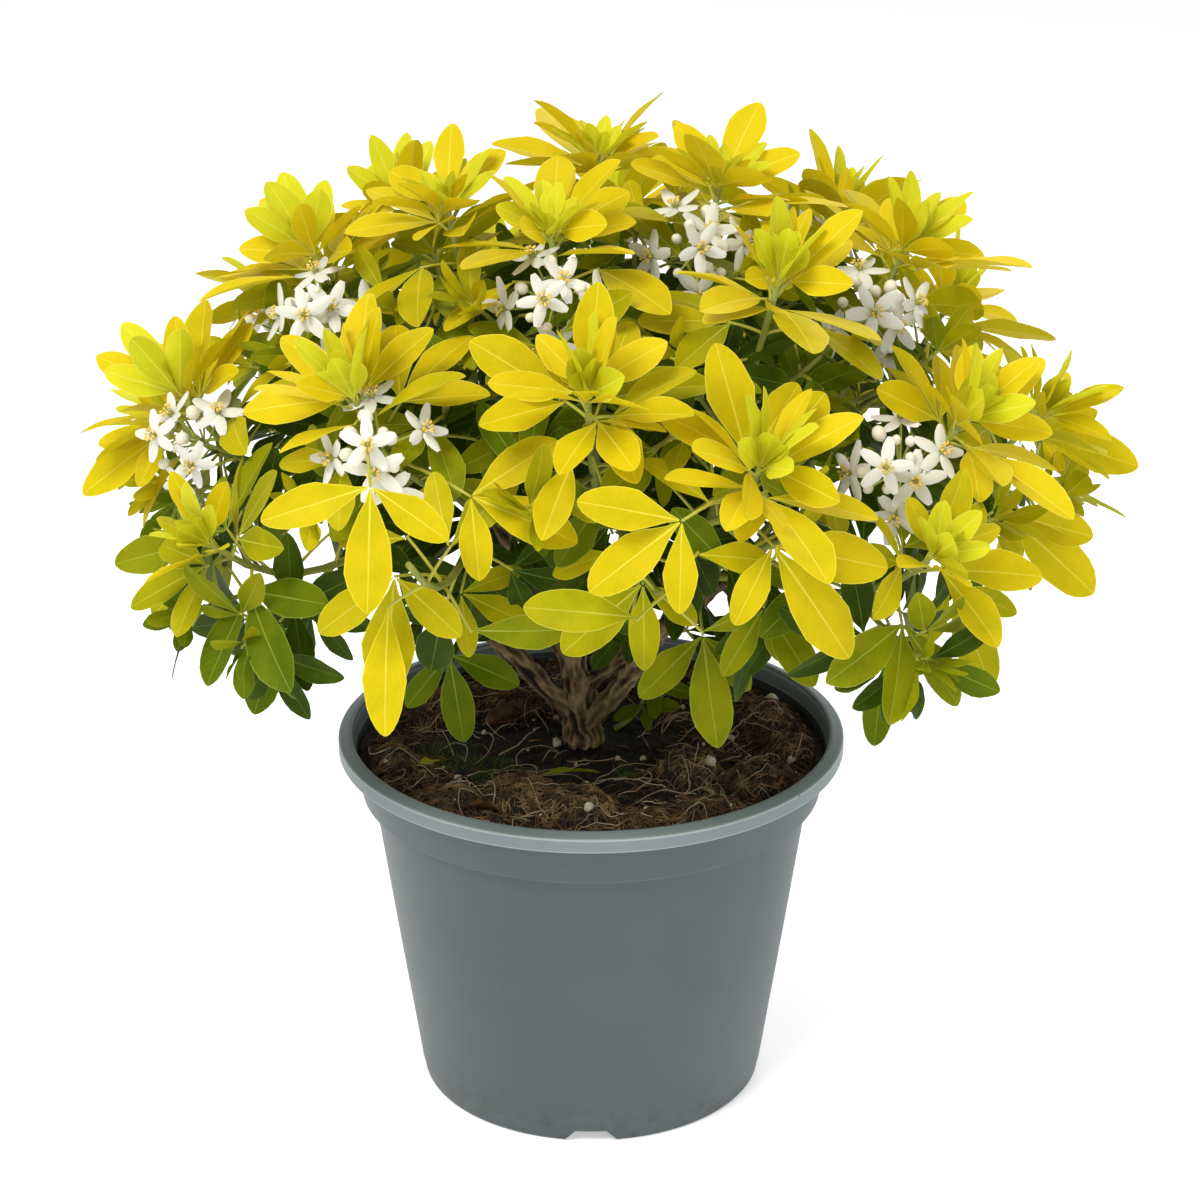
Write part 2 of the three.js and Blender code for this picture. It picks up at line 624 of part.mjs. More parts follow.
// The solid of one mass: stem, side twigs, leaves and blossom, fused
function makeMass(mass, curve, home, others, obstacles) {
  const roller = dice(mass.seed);
  const length = curve.getLength();
  const parts = [stemSolid(curve)];
  const clear = (solid) => {
    return keepsToOwnSpace(solid, home, others) && solid.minGap(obstacles, 1) > 2 * SEAT_GAP;
  };
  const placed = [];
  const addLeaf = (plan) => {
    const stub = { ...plan, root: plan.hub.clone().lerp(plan.root, LEAF.stub) };
    const alone = (solid) => placed.every((other) => solid.minGap(other, 1) > LEAF.apart);
    const aboveHem = (solid) => cornersOf(solid).every((spot) => spot.z > hemHeight(spot.x, spot.y));
    const fits = (leaflet) => {
      const blade = leafSolid(stub, [leaflet]);
      return aboveHem(blade) && alone(blade) && clear(leafSolid(plan, [leaflet]));
    };
    const kept = [];
    for (const leaflet of plan.leaflets) {
      const tries = LEAF.sizes.map((size) => ({ ...leaflet, length: leaflet.length * size }));
      const fitting = tries.find(fits);
      if (fitting) kept.push(fitting);
    }
    if (!kept.length) return false;
    const leaf = leafSolid(plan, kept);
    placed.push(leaf);
    parts.push(leaf);
    return true;
  };
  const addPairs = (stem, pairs, turn) => {
    const stemLength = stem.getLength();
    let leafy = false;
    pairs.forEach((pair, rank) => {
      const { point, tangent } = below(stem, stemLength, pair.down);
      for (const half of [0, 180]) {
        const roll = turn + rank * 90 + half + 24 * (roller() - 0.5);
        leafy = addLeaf(leafPlan(point, tangent, roll, pair, roller)) || leafy;
      }
    });
    return leafy;
  };
  const bloom = BLOOMS[mass.name];
  const flowers = bloom ? blossomSolids(bloom, curve, length, roller, clear) : [];
  parts.push(...flowers);
  placed.push(...flowers);
  addPairs(curve, PAIRS, mass.turn);
  const twigTurn = mass.turn + 45 + 30 * (roller() - 0.5);
  const twig = twigCurve(curve, length, twigTurn);
  const twigSolid = limb(twig, () => SIDE_TWIG.radius, 3, 3);
  if (clear(twigSolid) && addPairs(twig, SIDE_PAIRS, twigTurn)) parts.push(twigSolid);
  return mainBody(wasm.Manifold.union(parts));
}

// A loose head of flowers round the end of a stalk that leaves the stem under the leaves
function blossomSolids(bloom, curve, length, roller, clear) {
  const { point } = below(curve, length, BLOSSOM.down);
  const rise = radians(BLOSSOM.rise);
  const way = polar(bloom.side, Math.cos(rise), Math.sin(rise));
  const side = sideOf(way);
  const end = point.clone().addScaledVector(way, BLOSSOM.stalk);
  const stalk = stalkSolid(point, end.clone().addScaledVector(way, BLOSSOM.stalk), BLOSSOM.stalkRadius);
  const flowers = [];
  for (let i = 0; i < bloom.flowers; i++) {
    const ring = (360 * i) / (bloom.flowers - 1) + 30 * roller();
    const tilt = BLOSSOM.fan * (i ? 0.9 + 0.2 * roller() : 0.15);
    const out = turned(turned(way, side, tilt), way, ring);
    const foot = end.clone().addScaledVector(way, -BLOSSOM.step * i);
    const centre = foot.clone().addScaledVector(out, BLOSSOM.pedicel * (i ? 1 : 1.2));
    const root = foot.clone().addScaledVector(out, -BLOSSOM.sink);
    const open = out.clone().addScaledVector(way, i ? BLOSSOM.face : 0).addScaledVector(side, i ? 0 : 0.3);
    const flower = flowerSolid(root, centre, open.normalize());
    const stub = flowerSolid(centre.clone().lerp(root, 0.2), centre, open);
    const apart = flowers.every((other) => stub.minGap(other, 1) > LEAF.apart);
    if (clear(flower) && apart) flowers.push(flower);
  }
  return flowers.length && clear(stalk) ? [stalk, ...flowers] : [];
}

const plant = new THREE.Group();
const pot = makePot();
const compost = makeCompost();
const trunk = makeTrunk(0);
plant.add(meshOf(pot, "pot", "pot"));
plant.add(meshOf(compost, "compost", "compost"));
plant.add(meshOf(trunk, "trunk", "bark"));

// Each bough is cut back from the trunk and from the boughs before it
const limbs = [trunk];
let cutter = makeTrunk(SEAT_GAP);
for (const bough of BOUGHS) {
  const solid = makeBough(bough, cutter);
  cutter = cutter.add(makeBough(bough, makeTrunk(SEAT_GAP), SEAT_GAP));
  limbs.push(solid);
  plant.add(meshOf(solid, bough.name, "bark"));
}

const curves = stemCurves();
const homes = MASSES.map(shootTip);
for (const mass of MASSES) {
  const rest = MASSES.filter((other) => other !== mass);
  const stems = rest.map((other) => stemSolid(curves.get(other.name)));
  const obstacles = wasm.Manifold.union([pot, compost, ...limbs, ...stems]);
  const others = homes.filter((home, i) => MASSES[i] !== mass);
  const solid = makeMass(mass, curves.get(mass.name), shootTip(mass), others, obstacles);
  plant.add(meshOf(solid, `foliage_${mass.name}`, "foliage"));
}

export default plant;
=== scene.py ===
# %% [markdown]
# # A golden orange blossom in its nursery pot
# A Mexican orange blossom is a rounded evergreen shrub. This one has yellow leaves, each of three leaflets,
# and heads of white star flowers. It grows in a grey-blue plastic pot filled with fibrous compost.
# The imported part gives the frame: the pot, the compost, the trunk, nine boughs and 27 masses of foliage.
# Everything below is worked out in millimetres, as the part was, and made a thousandth of that in Blender.

import math

import bpy
import numpy as np
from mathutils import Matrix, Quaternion, Vector, noise


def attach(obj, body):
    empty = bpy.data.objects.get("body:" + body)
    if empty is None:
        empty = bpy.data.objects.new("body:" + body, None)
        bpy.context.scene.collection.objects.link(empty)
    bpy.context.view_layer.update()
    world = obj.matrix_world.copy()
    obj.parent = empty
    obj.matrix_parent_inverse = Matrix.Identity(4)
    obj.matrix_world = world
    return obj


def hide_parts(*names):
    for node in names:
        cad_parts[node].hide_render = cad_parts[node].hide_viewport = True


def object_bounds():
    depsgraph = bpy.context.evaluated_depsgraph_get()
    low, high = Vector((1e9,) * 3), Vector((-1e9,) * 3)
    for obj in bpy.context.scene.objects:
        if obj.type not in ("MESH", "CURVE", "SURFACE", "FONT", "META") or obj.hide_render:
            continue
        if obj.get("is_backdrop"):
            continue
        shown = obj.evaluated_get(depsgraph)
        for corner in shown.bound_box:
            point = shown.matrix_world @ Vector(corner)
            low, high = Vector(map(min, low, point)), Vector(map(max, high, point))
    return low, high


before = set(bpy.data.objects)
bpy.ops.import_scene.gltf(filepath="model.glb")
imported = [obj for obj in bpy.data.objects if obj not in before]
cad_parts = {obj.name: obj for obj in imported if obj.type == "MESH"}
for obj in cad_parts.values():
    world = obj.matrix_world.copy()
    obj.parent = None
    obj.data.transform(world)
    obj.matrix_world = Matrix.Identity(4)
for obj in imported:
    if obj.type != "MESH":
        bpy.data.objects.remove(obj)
cad_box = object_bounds()
MM = 0.001
print("nodes", len(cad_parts), "box", [tuple(round(x / MM) for x in corner) for corner in cad_box])

# %% [markdown]
# Every modelling step starts from a clean selection, because an operator acts on all that is selected.
# These few helpers do what a modeller does with the mouse: deselect, pick by place, and leave edit mode.


# %% Selecting and shaping helpers
def deselect_all():
    if bpy.context.object and bpy.context.object.mode != "OBJECT":
        bpy.ops.object.mode_set(mode="OBJECT")
    bpy.ops.object.select_all(action="DESELECT")


def make_active(piece):
    deselect_all()
    piece.select_set(True)
    bpy.context.view_layer.objects.active = piece


def pick(piece, kind, test):
    """Selects the vertices, edges or faces of a piece that pass a test, and enters edit mode."""
    make_active(piece)
    bpy.ops.object.mode_set(mode="EDIT")
    bpy.ops.mesh.select_mode(type=kind)
    bpy.ops.mesh.select_all(action="DESELECT")
    bpy.ops.object.mode_set(mode="OBJECT")
    items = {"VERT": piece.data.vertices, "EDGE": piece.data.edges, "FACE": piece.data.polygons}[kind]
    for item in items:
        item.select = test(item)
    bpy.ops.object.mode_set(mode="EDIT")


def object_mode():
    bpy.ops.object.mode_set(mode="OBJECT")


def apply_modifiers(piece):
    make_active(piece)
    for modifier in list(piece.modifiers):
        bpy.ops.object.modifier_apply(modifier=modifier.name)


def settle(piece, name, slot, *nodes):
    """Names a finished piece, puts its place in its mesh, and ties it to the frame."""
    make_active(piece)
    bpy.ops.object.transform_apply(location=True, rotation=True, scale=True)
    piece.name = name
    piece.data.name = name
    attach(piece, "root")
    if nodes:
        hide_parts(*nodes)
    triangles = sum(len(face.vertices) - 2 for face in piece.data.polygons)
    print(name, "triangles", triangles)
    return piece


# %% [markdown]
# The photograph looks down at the pot by about 22 degrees through a long lens, from about 1.7 m. The pot's
# ellipses and its height give that place. Soft studio light comes from above and a little from the left.

# %% Camera
CAMERA = {"target": Vector((4.6, 0, 263.7)), "distance": 1700, "elevation": 22.1}
LENS = {"length": 100.5, "sensor": 36, "far": 50}
tilt = math.radians(CAMERA["elevation"])
spot = CAMERA["target"] + Vector((0, -math.cos(tilt), math.sin(tilt))) * CAMERA["distance"]
deselect_all()
bpy.ops.object.camera_add(location=spot * MM)
camera = bpy.context.object
camera.name = "studio_camera"
camera.rotation_mode = "QUATERNION"
camera.rotation_quaternion = (CAMERA["target"] - spot).to_track_quat("-Z", "Y")
camera.data.lens = LENS["length"]
camera.data.sensor_width = LENS["sensor"]
camera.data.clip_end = LENS["far"]
bpy.context.scene.camera = camera
print("camera at", [round(x) for x in spot])


# %% Lights, sky and floor
LIGHTS = [
    ("key_light", (-700, -1100, 1850), (0, 0, 300), 900, 31.2, (1, 0.98, 0.94)),
    ("fill_light", (1300, -1700, 700), (0, 0, 220), 1400, 8.5, (0.97, 0.99, 1)),
    ("back_light", (500, 1500, 1500), (0, 0, 350), 1000, 14, (1, 1, 1)),
]
SKY = {"colour": (0.97, 0.98, 1, 1), "strength": 0.595}
PALE_FLOOR = {
    "Base Color": (0.9, 0.9, 0.9, 1),
    "Roughness": 0.8,
    "Emission Color": (1, 1, 1, 1),
    "Emission Strength": 0.4,
}
FLOOR_SIZE = 40


def area_light(name, place, target, size, power, colour):
    """A soft round light that faces its target"""
    deselect_all()
    bpy.ops.object.light_add(type="AREA", location=Vector(place) * MM)
    lamp = bpy.context.object
    lamp.name = name
    lamp.rotation_mode = "QUATERNION"
    lamp.rotation_quaternion = (Vector(target) - Vector(place)).to_track_quat("-Z", "Y")
    lamp.data.shape = "DISK"
    lamp.data.size = size * MM
    lamp.data.energy = power
    lamp.data.color = colour


for light in LIGHTS:
    area_light(*light)
sky = bpy.data.worlds.new("studio_sky")
sky.use_nodes = True
sky.node_tree.nodes["Background"].inputs["Color"].default_value = SKY["colour"]
sky.node_tree.nodes["Background"].inputs["Strength"].default_value = SKY["strength"]
bpy.context.scene.world = sky
bpy.context.scene.view_settings.view_transform = "Standard"
bpy.context.scene.view_settings.look = "None"

deselect_all()
bpy.ops.mesh.primitive_plane_add(size=FLOOR_SIZE, location=(0, 0, 0))
floor = bpy.context.object
floor.name = "floor"
floor_paint = bpy.data.materials.new("pale_floor")
floor_paint.use_nodes = True
for socket, value in PALE_FLOOR.items():
    floor_paint.node_tree.nodes["Principled BSDF"].inputs[socket].default_value = value
floor.data.materials.append(floor_paint)
floor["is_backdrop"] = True

# %% [markdown]
# Finishes are built from nodes. Most are a base colour that drifts between a few tones with a noise, a
# roughness, and a fine bump, so one helper makes them all. Colours are written as seen, from 0 to 255.


# %% Material helpers
def linear(red, green, blue):
    """A colour as seen, 0 to 255, as the light values that Blender works in"""

    def one(value):
        share = value / 255
        return share / 12.92 if share <= 0.04045 else ((share + 0.055) / 1.055) ** 2.4

    return (one(red), one(green), one(blue), 1)


def noise_value(tree, scale, detail=4, roughness=0.55):
    """A noise in object space. scale is in features to the metre."""
    place = tree.nodes.new("ShaderNodeTexCoord")
    grain = tree.nodes.new("ShaderNodeTexNoise")
    grain.inputs["Scale"].default_value = scale
    grain.inputs["Detail"].default_value = detail
    grain.inputs["Roughness"].default_value = roughness
    tree.links.new(place.outputs["Object"], grain.inputs["Vector"])
    return grain.outputs["Fac"]


def stored_value(tree, name):
    """A number that the mesh stores for each of its points"""
    node = tree.nodes.new("ShaderNodeAttribute")
    node.attribute_name = name
    return node.outputs["Fac"]


def range_value(tree, value, low, high, top=1.0):
    """0 where a value is at low, and top where it is at high"""
    node = tree.nodes.new("ShaderNodeMapRange")
    node.inputs["From Min"].default_value = low
    node.inputs["From Max"].default_value = high
    node.inputs["To Max"].default_value = top
    tree.links.new(value, node.inputs["Value"])
    return node.outputs["Result"]


def maths(tree, operation, *terms):
    """A sum of node sockets and plain numbers, such as MULTIPLY"""
    node = tree.nodes.new("ShaderNodeMath")
    node.operation = operation
    for socket, term in zip(node.inputs, terms):
        if isinstance(term, (int, float)):
            socket.default_value = term
        else:
            tree.links.new(term, socket)
    return node.outputs[0]


def ramp_colour(tree, value, stops):
    """A colour ramp over a value. stops are (place, colour as seen)."""
    ramp = tree.nodes.new("ShaderNodeValToRGB")
    while len(ramp.color_ramp.elements) < len(stops):
        ramp.color_ramp.elements.new(0.5)
    for element, (place, colour) in zip(ramp.color_ramp.elements, stops):
        element.position = place
        element.color = linear(*colour)
    tree.links.new(value, ramp.inputs["Fac"])
    return ramp.outputs["Color"]


def mix_in(tree, share, colour):
    """Mixes a colour, as seen, into what feeds the shader's base colour"""
    target = tree.nodes["Principled BSDF"].inputs["Base Color"]
    mix = tree.nodes.new("ShaderNodeMix")
    mix.data_type = "RGBA"
    below, above = [socket for socket in mix.inputs if socket.type == "RGBA"]
    mixed = [socket for socket in mix.outputs if socket.type == "RGBA"][0]
    above.default_value = linear(*colour)
    tree.links.new(share, mix.inputs["Factor"])
    tree.links.new(target.links[0].from_socket, below)
    tree.links.new(mixed, target)


def finish(name, stops, scale, roughness, bump=0, bump_scale=None, bump_size=0.0004, gloss=0.4):
    """A material whose colour drifts over a noise, with a fine bump"""
    material = bpy.data.materials.new(name)
    material.use_nodes = True
    tree = material.node_tree
    shader = tree.nodes["Principled BSDF"]
    tree.links.new(ramp_colour(tree, noise_value(tree, scale), stops), shader.inputs["Base Color"])
    shader.inputs["Roughness"].default_value = roughness
    shader.inputs["Specular IOR Level"].default_value = gloss
    if bump:
        relief = tree.nodes.new("ShaderNodeBump")
        relief.inputs["Strength"].default_value = bump
        relief.inputs["Distance"].default_value = bump_size
        tree.links.new(noise_value(tree, bump_scale or scale * 4, detail=6), relief.inputs["Height"])
        tree.links.new(relief.outputs["Normal"], shader.inputs["Normal"])
    return material


def write_attribute(piece, name, values):
    """Stores one number for each vertex, for a material to read"""
    attribute = piece.data.attributes.new(name, "FLOAT", "POINT")
    attribute.data.foreach_set("value", np.asarray(values, np.float32))


THIN = {"scale": 55, "roughness": 0.5, "bump": 0.25, "bump_scale": 900, "bump_size": 0.0003, "gloss": 0.15}
THIN_IOR = 1.3


def thin_finish(name, colour, tint, through, passing=1.0):
    """A leaf's or petal's material: a colour that drifts to a tint, and some light that comes through.

    passing is how much of the red comes through, which makes a lit leaf greener from behind."""
    material = finish(name, [(0.38, tint), (0.58, colour)], **THIN)
    tree = material.node_tree
    shader = tree.nodes["Principled BSDF"]
    shader.inputs["IOR"].default_value = THIN_IOR
    glow = tree.nodes.new("ShaderNodeBsdfTranslucent")
    glow.inputs["Color"].default_value = linear(colour[0] * passing, colour[1], colour[2])
    mix = tree.nodes.new("ShaderNodeMixShader")
    mix.inputs["Fac"].default_value = through
    tree.links.new(shader.outputs["BSDF"], mix.inputs[1])
    tree.links.new(glow.outputs["BSDF"], mix.inputs[2])
    tree.links.new(mix.outputs["Shader"], tree.nodes["Material Output"].inputs["Surface"])
    return material


print("white as seen is", [round(x, 2) for x in linear(255, 255, 255)])

# %% [markdown]
# ## The pot
# A nursery pot is blown or moulded in one thin wall: a flat foot with notches to let water out, a slanting
# wall, a collar that stiffens the top, and a rolled lip. The plainest way to model such a round wall is
# to extrude one ring up the outside, over the lip and down the inside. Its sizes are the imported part's.

# %% The pot's wall, ring by ring
LIP = 130
FLOOR = 9
NOTCH_FREE = 40
OUTSIDE = [
    (86.5, 0),
    (88, 0.5),
    (88.8, 1.6),
    (89.55, 7.6),
    (90.2, 8.3),
    (90.35, 9.2),
    (101.4, 84),
    (112.1, 158.5),
    (112.5, 160.6),
    (113.4, 161.8),
    (117.4, 162.4),
    (118.5, 163.3),
    (118.8, 165),
    (122.6, 182.6),
    (123.1, 183.6),
    (123.4, 184.1),
    (124, 184.3),
    (129.2, 184.6),
    (129.8, 184.9),
    (130, 185.4),
    (130, 191.2),
    (129.8, 191.7),
    (129.4, 192),
    (125.4, 193.6),
    (124.8, 193.9),
    (123.6, 193.9),
    (122.9, 193.5),
    (122.6, 192.6),
]
INSIDE = [
    (121.6, 188),
    (120.7, 184),
    (117.2, 166),
    (116.3, 163.6),
    (110.4, 162),
    (109.8, 158),
    (99.2, 84),
    (88.4, FLOOR),
]


def extrude_ring(radius, height, last):
    """Extrudes the selected ring to a new radius and height. last is the ring's present pair."""
    bpy.ops.mesh.extrude_region_move(TRANSFORM_OT_translate={"value": (0, 0, (height - last[1]) * MM)})
    bpy.ops.transform.resize(value=(radius / last[0], radius / last[0], 1))


deselect_all()
start = (NOTCH_FREE, 0)
bpy.ops.mesh.primitive_circle_add(vertices=160, radius=start[0] * MM, location=(0, 0, 0))
pot = bpy.context.object
bpy.ops.object.mode_set(mode="EDIT")
bpy.ops.mesh.select_mode(type="EDGE")
bpy.ops.mesh.select_all(action="SELECT")
last = start
for ring in OUTSIDE + INSIDE:
    extrude_ring(*ring, last)
    last = ring
bpy.ops.mesh.edge_face_add()
object_mode()
pick(pot, "VERT", lambda v: abs(math.hypot(v.co.x, v.co.y) - start[0] * MM) < 1e-5 and abs(v.co.z) < 1e-6)
bpy.ops.mesh.edge_face_add()
bpy.ops.mesh.select_all(action="SELECT")
bpy.ops.mesh.normals_make_consistent(inside=False)
object_mode()
print("pot rings", len(OUTSIDE) + len(INSIDE), "faces", len(pot.data.polygons))

# %% [markdown]
# The notches in the foot are cut with one block, narrower at its top, that is turned a quarter at a time.
# Each notch is a channel that leads to a drain hole in the floor.

# %% Notches and drain holes
NOTCH = {"foot": 28, "top": 16, "height": 6.5, "inner": 42, "drain": 5, "drain_reach": 58, "drill": 20}


def cut(piece, cutter):
    """Takes a cutter away from a piece, and removes the cutter."""
    modifier = piece.modifiers.new("cut", "BOOLEAN")
    modifier.operation = "DIFFERENCE"
    modifier.object = cutter
    apply_modifiers(piece)
    bpy.data.objects.remove(cutter)


for quarter in range(4):
    turn = quarter * math.pi / 2
    middle = (NOTCH["inner"] + LIP) / 2
    deselect_all()
    bpy.ops.mesh.primitive_cube_add(size=MM, location=(0, 0, 0))
    block = bpy.context.object
    block.scale = (NOTCH["foot"], LIP - NOTCH["inner"], NOTCH["height"] * 2)
    bpy.ops.object.transform_apply(scale=True)
    pick(block, "FACE", lambda face: face.normal.z > 0.9)
    bpy.ops.transform.resize(value=(NOTCH["top"] / NOTCH["foot"], 1, 1))
    object_mode()
    pick(block, "FACE", lambda face: face.normal.z < -0.9)
    bpy.ops.transform.resize(value=(2 - NOTCH["top"] / NOTCH["foot"], 1, 1))
    object_mode()
    block.location = (math.sin(turn) * middle * MM, -math.cos(turn) * middle * MM, 0)
    block.rotation_euler = (0, 0, turn)
    cut(pot, block)
    deselect_all()
    reach = NOTCH["drain_reach"] * MM
    place = (math.sin(turn) * reach, -math.cos(turn) * reach, NOTCH["height"] * MM)
    radius, depth = NOTCH["drain"] * MM, NOTCH["drill"] * MM
    bpy.ops.mesh.primitive_cylinder_add(vertices=24, radius=radius, depth=depth, location=place)
    cut(pot, bpy.context.object)
make_active(pot)
bpy.ops.object.shade_smooth_by_angle(angle=math.radians(40))
crisp = pot.modifiers.new("crisp", "WEIGHTED_NORMAL")
crisp.keep_sharp = True
apply_modifiers(pot)
print("pot faces after the cuts", len(pot.data.polygons))

# %% [markdown]
# The pot is matte grey-blue polypropylene. It carries a faint mottle, a fine moulded grain, and dust and
# dark specks near its foot. Its lip is painted paler as painted light, and its edges carry thin painted
# highlights. Painted shadow lies as a dark line under the lip and under the collar. All of it is read in
# object space, in metres, so it doesn't stretch round the wall.

# %% The pot's plastic
# Painted light: the lip, from its lower edge up, is mixed paler than the wall, as if lit from above.
LIP_PAINTED_LIGHT = {"from": 0.1844, "to": 0.1856, "share": 0.55, "colour": (138, 152, 153)}
# Bands by height. The dark ones are painted shadow under the collar and under the lip; the pale ones are
# painted highlights on the collar's step and on the lip's two edges.
PAINTED_SHADOW_AND_HIGHLIGHT_LINES = [
    (0.1598, 0.1624, 0.7, (44, 52, 54)),
    (0.1624, 0.1638, 0.5, (104, 118, 120)),
    (0.1825, 0.1845, 0.75, (40, 46, 46)),
    (0.1846, 0.1858, 0.75, (160, 170, 168)),
    (0.1908, 0.1924, 0.75, (176, 187, 186)),
]
DUST = {"scale": 120, "up_to": 0.032, "colour": (54, 52, 46)}
SPECKS = {"scale": 240, "drift": 60, "size": 0.3, "colour": (50, 52, 50)}
plastic = finish(
    "pot_plastic",
    [(0.3, (64, 75, 77)), (0.5, (68, 80, 82)), (0.72, (73, 84, 86))],
    scale=9,
    roughness=0.44,
    bump=0.12,
    bump_scale=700,
    bump_size=0.0002,
    gloss=0.45,
)
tree = plastic.node_tree
place = tree.nodes.new("ShaderNodeTexCoord")
axes = tree.nodes.new("ShaderNodeSeparateXYZ")
tree.links.new(place.outputs["Object"], axes.inputs["Vector"])
height = axes.outputs["Z"]
# Painted light on the lip, from its lower edge up.
lip_painted_light = range_value(tree, height, LIP_PAINTED_LIGHT["from"], LIP_PAINTED_LIGHT["to"], LIP_PAINTED_LIGHT["share"])
mix_in(tree, lip_painted_light, LIP_PAINTED_LIGHT["colour"])
# Each band of painted shadow or painted highlight rises from its edges to its middle.
for low, high, share, colour in PAINTED_SHADOW_AND_HIGHLIGHT_LINES:
    middle = (low + high) / 2
    rising = range_value(tree, height, low, middle)
    falling = range_value(tree, height, high, middle, share)
    mix_in(tree, maths(tree, "MULTIPLY", rising, falling), colour)
dust = range_value(tree, noise_value(tree, DUST["scale"], detail=6, roughness=0.7), 0.45, 0.75)
near_foot = range_value(tree, height, DUST["up_to"], 0)
mix_in(tree, maths(tree, "MULTIPLY", dust, near_foot), DUST["colour"])
cells = tree.nodes.new("ShaderNodeTexVoronoi")
cells.inputs["Scale"].default_value = SPECKS["scale"]
tree.links.new(place.outputs["Object"], cells.inputs["Vector"])
speck_size = range_value(tree, noise_value(tree, SPECKS["drift"], detail=2), 0.6, 0.8, SPECKS["size"])
mix_in(tree, maths(tree, "LESS_THAN", cells.outputs["Distance"], speck_size), SPECKS["colour"])
pot.data.materials.append(plastic)
settle(pot, "nursery_pot", "pot_plastic", "pot")

# %% [markdown]
# ## The growth rule
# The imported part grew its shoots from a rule, and the same rule is written again here: where each bough
# leaves the trunk, where each shoot ends on the dome, how its stem curves, and how pairs of leaves stand on
# it. With the same seeds the first leaves fall where the solids have theirs, and finer ones follow. A row of
# BOUGH_ROWS gives where a bough leaves the trunk, and a row of MASSES a shoot's bough, azimuth, height, seed
# and turn.

# %% Trunk and boughs, as in the part
TRUNK = {"foot": Vector((-4, 6, 182.3)), "fork": Vector((-11, 8, 243))}
TRUNK.update({"foot_radius": 11.5, "waist": 9.2, "top": 6.5, "flare": 9})
SOIL = 181
BOUGH = {"tip": 0.78, "last_start": 0.98, "bend": 0.8}
BOUGH_SIZES = ["azimuth", "leaves", "reach", "height", "radius", "rise"]
BOUGH_ROWS = {
    "bough_left": (-84, 0.2, 84, 290, 5.2, 0.55),
    "bough_front_left": (-48, 0.8, 62, 322, 4.6, 0.6),
    "bough_front": (5, 0.9, 52, 330, 4.6, 0.7),
    "bough_front_right": (38, 0.12, 78, 296, 4.4, 0.5),
    "bough_right": (82, 0.5, 88, 300, 4.8, 0.5),
    "bough_back_right": (128, 0.65, 84, 300, 4.6, 0.5),
    "bough_back": (176, 0.4, 82, 304, 4.8, 0.5),
    "bough_back_left": (-130, 0.7, 84, 300, 4.6, 0.5),
    "leader": (100, 1, 10, 372, 5, 0.5),
}
BOUGHS = {name: dict(zip(BOUGH_SIZES, row)) for name, row in BOUGH_ROWS.items()}


def polar(azimuth, reach, height):
    """A point at an azimuth round the pot's axis, 0 at the front and 90 at the right"""
    angle = math.radians(azimuth)
    return Vector((reach * math.sin(angle), -reach * math.cos(angle), height))


class Limb:
    """A Bezier curve that is read by its parameter, or by the length below its tip"""

    samples = 200

    def __init__(self, *handles):
        self.handles = [Vector(h) for h in handles]
        spots = [self.at(i / self.samples) for i in range(self.samples + 1)]
        steps = [(b - a).length for a, b in zip(spots, spots[1:])]
        self.reached = np.concatenate([[0], np.cumsum(steps)])
        self.length = float(self.reached[-1])

    def at(self, share):
        level = self.handles
        while len(level) > 1:
            level = [a.lerp(b, share) for a, b in zip(level, level[1:])]
        return level[0]

    def tangent(self, share):
        level = [b - a for a, b in zip(self.handles, self.handles[1:])]
        while len(level) > 1:
            level = [a.lerp(b, share) for a, b in zip(level, level[1:])]
        return level[0].normalized()

    def below(self, down):
        want = max(0, self.length - down)
        share = float(np.interp(want, self.reached, np.linspace(0, 1, self.samples + 1)))
        return self.at(share), self.tangent(share)


def trunk_limb():
    middle = TRUNK["foot"].lerp(TRUNK["fork"], 0.5) + Vector((2, 0, 0))
    return Limb(TRUNK["foot"], middle, TRUNK["fork"])


def bough_limb(bough):
    begin = trunk_limb().at(min(bough["leaves"], BOUGH["last_start"]))
    tip = polar(bough["azimuth"], bough["reach"], bough["height"])
    bend = begin.lerp(tip, 0.5)
    bend.z = begin.z + (tip.z - begin.z) * bough["rise"] * BOUGH["bend"]
    return Limb(begin, bend, tip)


print("bough lengths", {name: round(bough_limb(bough).length) for name, bough in BOUGHS.items()})

